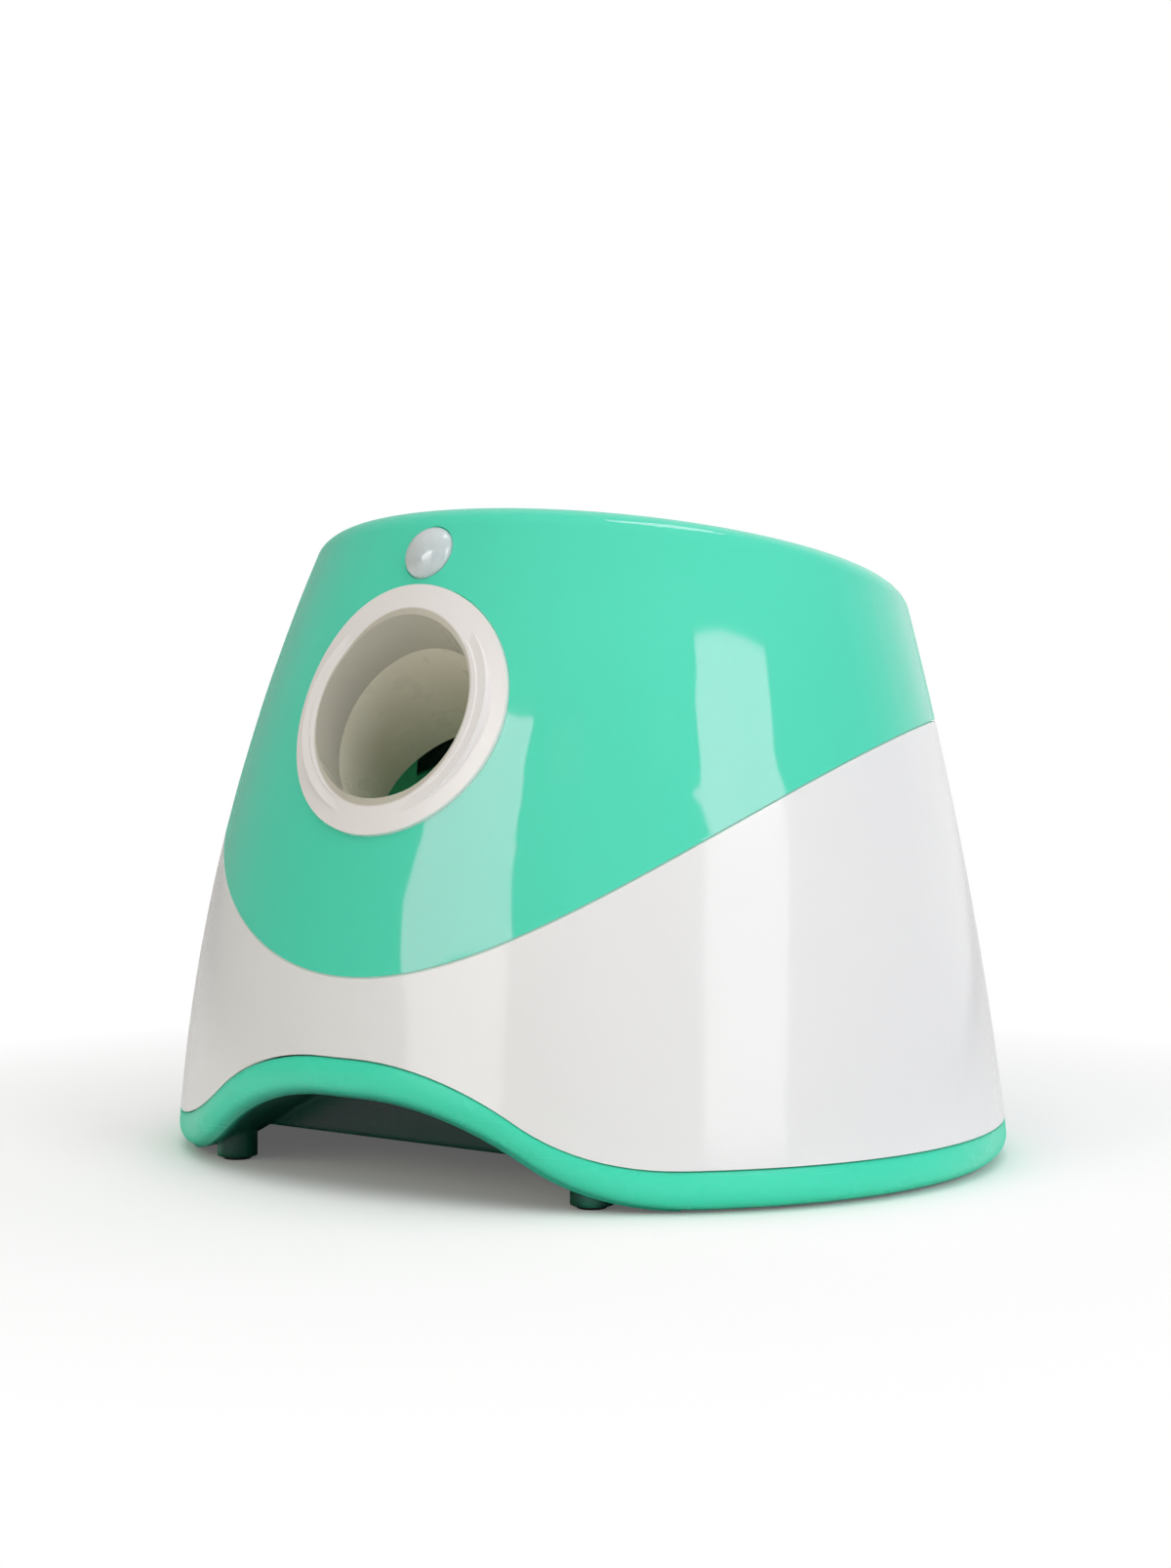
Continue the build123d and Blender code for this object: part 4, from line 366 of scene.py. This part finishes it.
tube_grey = matt("tube_satin_white", (238, 232, 216), (231, 224, 206), 0.30)
chute_green = matt("chute_green", (78, 196, 148), (72, 186, 138), 0.35)
rubber = matt("rubber_black", (26, 26, 27), (34, 34, 35), 0.75, grain=900.0,
              depth=0.00004)
nylon_black = matt("glass_filled_nylon", (30, 31, 33), (40, 41, 43), 0.55)
nylon_white = matt("natural_acetal", (226, 222, 208), (218, 213, 198), 0.35)
board = matt("solder_mask", (20, 84, 46), (14, 66, 36), 0.25, grain=700.0, depth=0.00003)
cell_sleeve = matt("cell_sleeve", (44, 48, 54), (52, 56, 62), 0.25)
socket_black = matt("socket_black", (18, 18, 19), (24, 24, 25), 0.4)
steel = brushed("zinc_plated_steel", (200, 200, 203), (172, 173, 178))
can_steel = brushed("plated_can", (206, 206, 208), (186, 186, 190), 0.22)
brass = brushed("turned_brass", (214, 178, 106), (190, 152, 82), 0.22)
print("finishes", len(bpy.data.materials))

# %% frosted lens and clear pipes
def frosted(name):
    """Milky polyethylene lens: light enters, scatters and shows the facets inside."""
    finish = Finish(name)
    toned(finish, finish.noise(160.0, 3.0), (234, 243, 246), (218, 230, 236))
    finish.wire("Roughness", finish.spread(finish.noise(400.0, 3.0), 0.06, 0.14))
    finish.bump(finish.noise(500.0, 1.0), 0.00001)
    finish.set(Subsurface_Weight=0.6, Subsurface_Scale=0.004, Subsurface_Radius=(1.0, 1.0, 1.0),
               Transmission_Weight=0.25, IOR=1.5,
               Coat_Weight=0.65, Coat_Roughness=0.04, Coat_IOR=1.5)
    return finish.material


def clear(name):
    """Clear moulded acrylic of the light pipes."""
    finish = Finish(name)
    toned(finish, finish.noise(200.0, 2.0), (228, 236, 240), (214, 224, 230))
    finish.wire("Roughness", finish.spread(finish.noise(300.0, 2.0), 0.08, 0.16))
    finish.set(Transmission_Weight=0.7, IOR=1.49)
    return finish.material


lens_milk = frosted("frosted_lens")
acrylic = clear("clear_acrylic")
print("lens and light pipes ready")

# %% [markdown]
# ## Dressing the CAD nodes
# A node whose solid is already right keeps its mesh and only takes a finish. The table below
# lists each finish once, with the nodes that it covers.

# %% give the nodes their finish
DRESS = {
    green: ["upper_shell"],
    white: ["lower_shell", "control_panel", "power_button", "distance_button"],
    green_base: ["hopper", "battery_door"],
    green_skirt: ["base"],
    bezel_white: ["nozzle_bezel", "ball_gate"],
    tube_grey: ["launch_tube"],
    chute_green: ["ball_chute"],
    lens_milk: ["sensor_lens"],
    acrylic: ["led_light_pipes"],
    rubber: ["rubber_feet", "hammer_pad", "hammer_stop"],
    nylon_black: ["battery_box", "gearbox_inner_plate", "gearbox_outer_plate", "hammer_bracket"],
    nylon_white: ["hammer_arm", "sector_gear", "drive_gear", "idler_gear"],
    board: ["sensor_board", "control_board", "main_board"],
    cell_sleeve: ["battery_cells"],
    socket_black: ["dc_jack"],
    can_steel: ["pir_sensor", "motor", "battery_contacts", "hammer_spring"],
    brass: ["motor_pinion", "gearbox_spacers"],
    steel: ["base_screws", "shell_screws", "gate_pin", "chute_screws", "control_screws",
            "gearbox_screws", "hammer_shaft", "stop_pin", "drive_axle", "idler_axle",
            "motor_shaft", "motor_screws"],
}


def dress(piece, finish):
    """Puts one finish on a whole piece."""
    piece.data.materials.clear()
    piece.data.materials.append(finish)


for finish, names in DRESS.items():
    for name in names:
        dress(nodes[name], finish)
print("dressed", sum(len(names) for names in DRESS.values()), "of", len(nodes))

# %% [markdown]
# ## Modelling helpers
# The next pieces are modelled as by hand: a primitive is added, faces are picked by their place
# and shaped in edit mode, and modifiers finish them. An operator acts on all that is selected, so
# one helper clears the selection, and another picks faces, edges or points by a test on their
# middle.

# %% modelling helpers
def deselect():
    """Leaves nothing selected, so that the next operator acts only on its own piece."""
    if bpy.context.object is not None and bpy.context.object.mode != "OBJECT":
        bpy.ops.object.mode_set(mode="OBJECT")
    bpy.ops.object.select_all(action="DESELECT")


def pick(piece, kind, test):
    """Goes into edit mode with only the faces, edges or points selected that pass a test.

    The test gets the middle of each one. The count of those that passed is returned.
    """
    bpy.ops.object.mode_set(mode="OBJECT")
    mesh = piece.data
    for part in (mesh.vertices, mesh.edges, mesh.polygons):
        part.foreach_set("select", [False] * len(part))
    if kind == "FACE":
        chosen = [(face, face.center) for face in mesh.polygons]
    elif kind == "EDGE":
        ends = [(edge, [mesh.vertices[end].co for end in edge.vertices]) for edge in mesh.edges]
        chosen = [(edge, (first + last) / 2) for edge, (first, last) in ends]
    else:
        chosen = [(point, point.co) for point in mesh.vertices]
    count = 0
    for element, middle in chosen:
        if test(middle):
            element.select = True
            count += 1
    bpy.context.tool_settings.mesh_select_mode = (kind == "VERT", kind == "EDGE", kind == "FACE")
    bpy.ops.object.mode_set(mode="EDIT")
    return count


def apply_modifier(piece, kind, **settings):
    """Adds one modifier, sets it and applies it."""
    bpy.ops.object.mode_set(mode="OBJECT")
    made = piece.modifiers.new(kind.lower(), kind)
    for name, value in settings.items():
        setattr(made, name, value)
    bpy.ops.object.modifier_apply(modifier=made.name)


def settle(piece, place, finish, body, smooth=35.0):
    """Puts a modelled piece where it belongs, with its place in its mesh, and dresses it.

    Edges flatter than the smooth angle, in degrees, are shaded smooth.
    """
    if bpy.context.object.mode != "OBJECT":
        bpy.ops.object.mode_set(mode="OBJECT")
    piece.matrix_world = place
    bpy.context.view_layer.update()
    bpy.ops.object.transform_apply(location=True, rotation=True, scale=True)
    bpy.ops.object.shade_smooth_by_angle(angle=math.radians(smooth))
    dress(piece, finish)
    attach(piece, body)
    return len(piece.data.polygons)


def axes_at(origin, side, outward):
    """Place matrix with its X to the side and its Z outward from the surface."""
    z = Vector(outward).normalized()
    x = Vector(side).normalized()
    y = z.cross(x)
    place = Matrix((x, y, z)).transposed().to_4x4()
    place.translation = Vector(origin)
    return place


print("modelling helpers ready")

# %% [markdown]
# ## Sensor lens
# The motion sensor looks out through a milky dome of polyethylene. Moulded into it is a ring
# pattern of small lens cells, which show as soft pillows with fine valleys between them. A ball
# gives the dome: all below the rim is cut away, each face near the top is inset to leave the
# valleys, and subdivision rounds the cells. The rim is extruded down to the flange that holds the
# lens in the shell, and the surface is given its wall.

# %% lens sizes
LENS_RADIUS = 8.2 * MM
LENS_RISE = 4.2 * MM
LENS_FOOT = 2.9 * MM
LENS_LIP = 1.0 * MM
LENS_FLANGE = 1.9 * MM
LENS_WALL = 1.2 * MM
LENS_RIM_LEVEL = 0.1 * MM
LENS_CELLS_ROUND = 20
LENS_CELL_ROWS = 20
LENS_CELLS_DEEP = 5
VALLEY = 0.14 * MM
PILLOW = 0.02 * MM
ROUNDING_LOSS = 1.045
LENS_SUBDIVISIONS = 2
LENS_SMOOTH = 60.0
LENS_ORIGIN = (0.0, -78.7647 * MM, 180.7 * MM)
LENS_SIDE = (1.0, 0.0, 0.0)
LENS_OUTWARD = (0.0, -0.916463, 0.400119)
lens_ball = (LENS_RADIUS ** 2 + LENS_RISE ** 2) / (2 * LENS_RISE)
cell_field = lens_ball * (1 - math.cos(math.pi * LENS_CELLS_DEEP / LENS_CELL_ROWS))
print("lens ball radius mm", round(lens_ball / MM, 2))

# %% model the lens
deselect()
bpy.ops.mesh.primitive_uv_sphere_add(segments=LENS_CELLS_ROUND, ring_count=LENS_CELL_ROWS,
                                     radius=lens_ball, location=(0.0, 0.0, LENS_RISE - lens_ball))
bpy.context.object.scale = (ROUNDING_LOSS, ROUNDING_LOSS, 1.0)
bpy.ops.object.transform_apply(location=True, scale=True)
lens = bpy.context.object
lens.name = "lens_dome"
pick(lens, "VERT", lambda point: point.z < 0.0)
bpy.ops.mesh.delete(type="VERT")
cells = pick(lens, "FACE", lambda middle: middle.z > LENS_RISE - cell_field)
bpy.ops.mesh.inset(thickness=VALLEY, depth=PILLOW, use_individual=True)
pick(lens, "EDGE", lambda middle: middle.z < LENS_RIM_LEVEL)
bpy.ops.mesh.extrude_region_move(TRANSFORM_OT_translate={"value": (0.0, 0.0, -LENS_FOOT)})
bpy.ops.mesh.extrude_region_move()
wider = (LENS_RADIUS + LENS_LIP) / LENS_RADIUS
bpy.ops.transform.resize(value=(wider, wider, 1.0))
bpy.ops.mesh.extrude_region_move(TRANSFORM_OT_translate={"value": (0.0, 0.0, -LENS_FLANGE)})
apply_modifier(lens, "SUBSURF", levels=LENS_SUBDIVISIONS, render_levels=LENS_SUBDIVISIONS)
apply_modifier(lens, "SOLIDIFY", thickness=LENS_WALL, offset=-1.0)
faces = settle(lens, axes_at(LENS_ORIGIN, LENS_SIDE, LENS_OUTWARD), lens_milk,
               "housing", LENS_SMOOTH)
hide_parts("sensor_lens")
print("lens cells", cells, "faces", faces)

# %% [markdown]
# ## Marks on the control panel
# The keys carry the usual signs: a broken ring with a bar for power, and three arcs like spreading
# waves for distance. Beside the lamps stand the numbers of the three distances. Each sign stands a
# fraction of a millimetre proud, as a raised mould line does. The arcs start as circles of points.
# Their gap is deleted, and the line is extruded to a band.

# %% panel places
PANEL_ORIGIN = Vector((0.0, 99.4967 * MM, 148.5 * MM))
PANEL_SIDE = Vector((-1.0, 0.0, 0.0))
PANEL_OUTWARD = Vector((0.0, 0.986251, 0.165254))
MARK_LINE = 0.7 * MM
MARK_DEPTH = 0.3 * MM
MARK_PROUD = 0.12 * MM
MARK_EDGE = 0.06 * MM
mark_grey = matt("mark_grey", (104, 112, 112), (94, 102, 102), 0.45)


def panel_place(offset, level, slope=0.0):
    """Place matrix of a sign. The offset runs along the panel, and the level out of it."""
    origin = PANEL_ORIGIN + PANEL_SIDE * offset + PANEL_OUTWARD * (level + MARK_PROUD)
    return axes_at(origin, PANEL_SIDE - PANEL_OUTWARD * slope, PANEL_OUTWARD + PANEL_SIDE * slope)


print("panel outward", [round(v, 3) for v in PANEL_OUTWARD])

# %% arcs and bars
ARC_POINTS = 72


def arc_sign(name, radius, centre, middle, span):
    """Flat band along part of a circle. Its middle and span are in degrees from the top."""
    deselect()
    bpy.ops.mesh.primitive_circle_add(vertices=ARC_POINTS, radius=radius,
                                      location=(0.0, centre, 0.0))
    bpy.ops.object.transform_apply(location=True)
    sign = bpy.context.object
    sign.name = name

    def off_span(point):
        turn = math.degrees(math.atan2(point.x, point.y - centre)) - middle
        return abs((turn + 180.0) % 360.0 - 180.0) > span / 2

    pick(sign, "VERT", off_span)
    bpy.ops.mesh.delete(type="VERT")
    bpy.ops.mesh.select_all(action="SELECT")
    bpy.ops.mesh.extrude_region_move()
    inner = (radius - MARK_LINE) / radius
    bpy.ops.transform.resize(value=(inner, inner, 1.0), center_override=(0.0, centre, 0.0))
    return sign


def bar_sign(name, width, height, middle):
    """Flat bar, from a plane that is sized in edit mode."""
    deselect()
    bpy.ops.mesh.primitive_plane_add(size=1.0, location=(0.0, 0.0, 0.0))
    sign = bpy.context.object
    sign.name = name
    bpy.ops.object.mode_set(mode="EDIT")
    bpy.ops.mesh.select_all(action="SELECT")
    bpy.ops.transform.resize(value=(width, height, 1.0))
    bpy.ops.transform.translate(value=(0.0, middle, 0.0))
    return sign


def raise_sign(sign, place, body):
    """Gives a flat sign its depth and soft edges, and puts it on its key."""
    bpy.ops.mesh.select_all(action="SELECT")
    bpy.ops.mesh.extrude_region_move(TRANSFORM_OT_translate={"value": (0.0, 0.0, -MARK_DEPTH)})
    bpy.ops.mesh.select_all(action="SELECT")
    bpy.ops.mesh.normals_make_consistent(inside=False)
    apply_modifier(sign, "BEVEL", width=MARK_EDGE, segments=2, limit_method="ANGLE")
    return settle(sign, place, mark_grey, body)


print("sign helpers ready")

# %% signs on the keys
POWER_KEY = panel_place(offset=-18.0 * MM, level=-0.438 * MM)
DISTANCE_KEY = panel_place(offset=2.0 * MM, level=0.982 * MM)
WAVE_RADII = (1.2 * MM, 2.6 * MM, 4.0 * MM)
WAVE_FOOT = -2.2 * MM

ring = arc_sign("power_sign_ring", radius=2.9 * MM, centre=0.0, middle=180.0, span=290.0)
faces = raise_sign(ring, POWER_KEY, "power_button")
bar = bar_sign("power_sign_bar", width=MARK_LINE, height=3.0 * MM, middle=2.1 * MM)
faces += raise_sign(bar, POWER_KEY, "power_button")
for count, radius in enumerate(WAVE_RADII, start=1):
    wave = arc_sign("distance_sign_" + str(count), radius, centre=WAVE_FOOT, middle=0.0, span=90.0)
    faces += raise_sign(wave, DISTANCE_KEY, "distance_button")
print("signs on the keys, faces", faces)

# %% numbers beside the lamps
# Each number: offset along the panel and level in millimetres, and the slope of the panel there.
NUMBERS = {"1": (14.0, -1.267, 0.124), "2": (20.0, -2.178, 0.179), "3": (26.0, -3.425, 0.236)}
NUMBER_SIZE = 3.6 * MM
NUMBER_DROP = 5.2 * MM
NUMBER_CURVE_STEPS = 6

for figure, (offset, level, slope) in NUMBERS.items():
    deselect()
    bpy.ops.object.text_add(location=(0.0, -NUMBER_DROP, -MARK_DEPTH / 2))
    number = bpy.context.object
    number.name = "distance_number_" + figure
    number.data.body = figure
    number.data.align_x, number.data.align_y = "CENTER", "CENTER"
    number.data.size = NUMBER_SIZE
    number.data.extrude = MARK_DEPTH / 2
    number.data.resolution_u = NUMBER_CURVE_STEPS
    bpy.ops.object.convert(target="MESH")
    bpy.ops.object.transform_apply(location=True)
    number = bpy.context.object
    faces = settle(number, panel_place(offset * MM, level * MM, slope), mark_grey,
                   "housing")
    print(number.name, "faces", faces)

# %% [markdown]
# ## Floor
# The launcher stands on a sheet of white paper that fades into a white backdrop, so there is no
# horizon line. The camera sees the paper a little lighter than the light on it would make it, and
# its far edge turns into plain white. Only camera rays do so, so the object gets no more light.
# Close to the body the paper is dark for rays that bounce or mirror, because it lies in shadow
# there. Without that, light would leak up under the skirt.

# %% floor
FLOOR_SIZE = 12.0
PAPER_LIFT = 0.10
FADE_START, FADE_END = 0.13, 0.34
SHADOW_START, SHADOW_END = 0.085, 0.135
SHADED_PAPER = linear(40, 40, 40)
PURE_WHITE = (1.0, 1.0, 1.0, 1.0)


def floor_finish():
    """White paper that takes the shadow and fades to the white of the backdrop."""
    finish = Finish("backdrop_paper")
    reach = finish.measure("LENGTH", finish.place)
    rays = finish.node("ShaderNodeLightPath").outputs
    tone = finish.spread(finish.noise(3.0, 2.0), 0.0, 1.0)
    paper = finish.mix(tone, linear(250, 250, 250), linear(249, 249, 249))
    under = finish.spread(reach, 1.0, 0.0, SHADOW_START, SHADOW_END)
    unseen = finish.calculate("ADD", rays["Is Diffuse Ray"], rays["Is Glossy Ray"])
    shaded = finish.calculate("MULTIPLY", under, unseen)
    finish.wire("Base Color", finish.mix(shaded, paper, SHADED_PAPER))
    finish.set(Roughness=0.9, Specular_IOR_Level=0.1)
    far = finish.spread(reach, PAPER_LIFT, 1.0, FADE_START, FADE_END)
    share = finish.calculate("MULTIPLY", far, rays["Is Camera Ray"])
    white_glow = finish.node("ShaderNodeEmission", {"Color": PURE_WHITE, "Strength": 1.0})
    blend = finish.node("ShaderNodeMixShader")
    for index, value in enumerate((share, finish.shader.outputs[0], white_glow.outputs[0])):
        finish.link(value, blend.inputs[index])
    finish.surface(blend.outputs[0])
    return finish.material


deselect()
bpy.ops.mesh.primitive_plane_add(size=FLOOR_SIZE, location=(0.0, 0.0, 0.0))
floor = bpy.context.object
floor.name = "floor"
dress(floor, floor_finish())
print("floor", [round(v, 2) for v in floor.dimensions])

# %% [markdown]
# ## Studio light
# Two tall windows stand on either side of the camera, and a wide soft light hangs overhead. Area
# lamps would show in the polished plastic as plain rectangles, so they are hidden from glossy
# rays and light the body only. What the plastic mirrors are flat cards near the same places, cut
# to the outline of a window with its sill, which send light to glossy rays alone.

# %% lamps
LIGHT_CENTRE = Vector((0.0, 0.0, 0.1))
LIGHT_DISTANCE = 1.4


def bearing(azimuth, elevation):
    """Direction from the body at an azimuth counted from the nozzle and an elevation."""
    turn, rise = math.radians(azimuth), math.radians(elevation)
    return Vector((math.sin(turn) * math.cos(rise), -math.cos(turn) * math.cos(rise),
                   math.sin(rise)))


def softbox(name, azimuth, elevation, size, radiance, tint=(1.0, 1.0, 1.0)):
    """Area light that faces the body and doesn't show in glossy surfaces."""
    data = bpy.data.lights.new(name, "AREA")
    data.shape = "RECTANGLE"
    data.size, data.size_y = size
    data.energy = radiance * math.pi * data.size * data.size_y
    data.color = tint
    lamp = bpy.data.objects.new(name, data)
    bpy.context.scene.collection.objects.link(lamp)
    way = bearing(azimuth, elevation)
    lamp.location = LIGHT_CENTRE + way * LIGHT_DISTANCE
    lamp.rotation_euler = way.to_track_quat("Z", "Y").to_euler()
    lamp.visible_glossy = False


softbox("window_right", azimuth=77.0, elevation=20.0, size=(0.70, 0.85), radiance=3.4,
        tint=(0.97, 1.0, 1.04))
softbox("window_left", azimuth=-10.0, elevation=21.0, size=(0.68, 0.66), radiance=1.88,
        tint=(1.12, 1.0, 0.73))
softbox("overhead", azimuth=36.0, elevation=82.0, size=(1.4, 1.4), radiance=1.9)

# %% window cards
# Each card: radiance, and its corners as azimuth and elevation in degrees.
CARDS = {
    "card_right_top": (4.6, [(63.0, 39.7), (90.9, 33.9), (88.2, 26.6), (90.4, 22.5), (64.0, 22.8),
                             (58.3, 26.6), (61.5, 27.6)]),
    "card_right_low": (2.3, [(64.0, 22.8), (90.4, 22.5), (87.4, 17.0), (83.8, 9.9), (80.6, 2.6),
                             (78.6, -3.3), (56.7, -3.1), (57.4, 3.4), (58.9, 11.5), (60.6, 19.5)]),
    "card_left_top": (4.4, [(-3.4, 33.4), (7.0, 34.2), (6.4, 27.4), (5.6, 20.8), (6.8, 14.7),
                            (-22.1, 9.2), (-24.2, 14.9), (-21.4, 21.7), (-12.6, 27.3)]),
    "card_left_low": (2.1, [(6.8, 14.7), (6.6, 7.6), (6.4, 0.7), (6.0, -3.2), (-15.8, -4.5),
                            (-16.9, -0.8), (-19.0, 5.6), (-22.1, 9.2)]),
    "card_pane_left": (0.5, [(13.0, 34.1), (23.9, 34.7), (24.8, 29.0), (14.7, 28.5)]),
    "card_pane_right": (0.4, [(46.6, 35.1), (55.5, 34.6), (53.7, 29.3), (45.5, 29.6)]),
    "card_overhead": (4.4, [(-15.0, 86.0), (40.0, 79.3), (80.0, 76.0), (110.0, 71.8),
                            (138.0, 65.5), (157.0, 69.5), (163.0, 75.5), (149.0, 82.5),
                            (90.0, 88.0)]),
}
HIDDEN_FROM = ("camera", "diffuse", "transmission", "volume_scatter", "shadow")
CARD_UNEVENNESS = 0.06


def card(name, radiance, outline):
    """Flat card that glows, and that only glossy rays see."""
    finish = Finish(name)
    tone = finish.spread(finish.noise(1.5, 1.0), radiance * (1 - CARD_UNEVENNESS),
                         radiance * (1 + CARD_UNEVENNESS))
    glow = finish.node("ShaderNodeEmission", {"Color": PURE_WHITE})
    finish.link(tone, glow.inputs["Strength"])
    finish.surface(glow.outputs[0])
    mesh = bpy.data.meshes.new(name)
    corners = [LIGHT_CENTRE + bearing(*corner) * LIGHT_DISTANCE for corner in outline]
    mesh.from_pydata(corners, [], [list(range(len(corners)))])
    piece = bpy.data.objects.new(name, mesh)
    bpy.context.scene.collection.objects.link(piece)
    mesh.materials.append(finish.material)
    for kind in HIDDEN_FROM:
        setattr(piece, "visible_" + kind, False)


for name, (radiance, outline) in CARDS.items():
    card(name, radiance, outline)
print("cards", list(CARDS))

# %% [markdown]
# ## Backdrop
# The world is the white room. The camera sees it as plain white, and so do rays that pass through
# clear plastic. For light it is a dim fill, with a brighter sheet of paper behind the body, which
# shines more in the polished plastic. A dark flag stands on the side that turns away from the
# windows. Glossy rays see a dark screen there as well, so that the left edge keeps its shade.

# %% backdrop
# The fill is light from all sides, and the backdrop's two levels are for bounced and glossy rays.
WORLD_FILL = 0.32
BACKDROP_FILL = 0.35
BACKDROP_SHINE = 0.66
BEHIND_BODY = (-math.sin(CAMERA_ANGLE), math.cos(CAMERA_ANGLE), 0.0)
FLAG_SIDE = bearing(-85.0, 5.0)
SCREEN_SIDE = bearing(-92.0, 5.0)

world = bpy.data.worlds.new("studio")
bpy.context.scene.world = world
world.use_nodes = True
sky = Nodes(world.node_tree)
back = sky.tree.nodes["Background"]
back.inputs["Color"].default_value = PURE_WHITE
way = sky.node("ShaderNodeTexCoord").outputs["Generated"]
rays = sky.node("ShaderNodeLightPath").outputs


def towards(direction, low, high, start, end):
    """Goes from low to high as a ray turns towards a direction."""
    facing = sky.measure("DOT_PRODUCT", way, direction)
    return sky.spread(facing, low, high, start, end, "SMOOTHSTEP")


paper = towards(BEHIND_BODY, low=0.0, high=1.0, start=0.0, end=0.8)
flag = towards(FLAG_SIDE, low=1.0, high=0.55, start=0.1, end=0.8)
screen = towards(SCREEN_SIDE, low=0.0, high=0.42, start=0.6, end=0.95)
screened = sky.calculate("MULTIPLY", rays["Is Glossy Ray"], screen)
flagged = sky.calculate("MULTIPLY", flag, sky.calculate("SUBTRACT", 1.0, screened))
shine = sky.calculate("MULTIPLY", rays["Is Glossy Ray"], BACKDROP_SHINE - BACKDROP_FILL)
paper_level = sky.calculate("MULTIPLY", paper, sky.calculate("ADD", shine, BACKDROP_FILL))
lit = sky.calculate("MULTIPLY", sky.calculate("ADD", paper_level, WORLD_FILL), flagged)
seen = sky.calculate("MAXIMUM", rays["Is Camera Ray"], rays["Is Transmission Ray"])
sky.link(sky.calculate("MAXIMUM", seen, lit), back.inputs["Strength"])
print("backdrop", world.name)
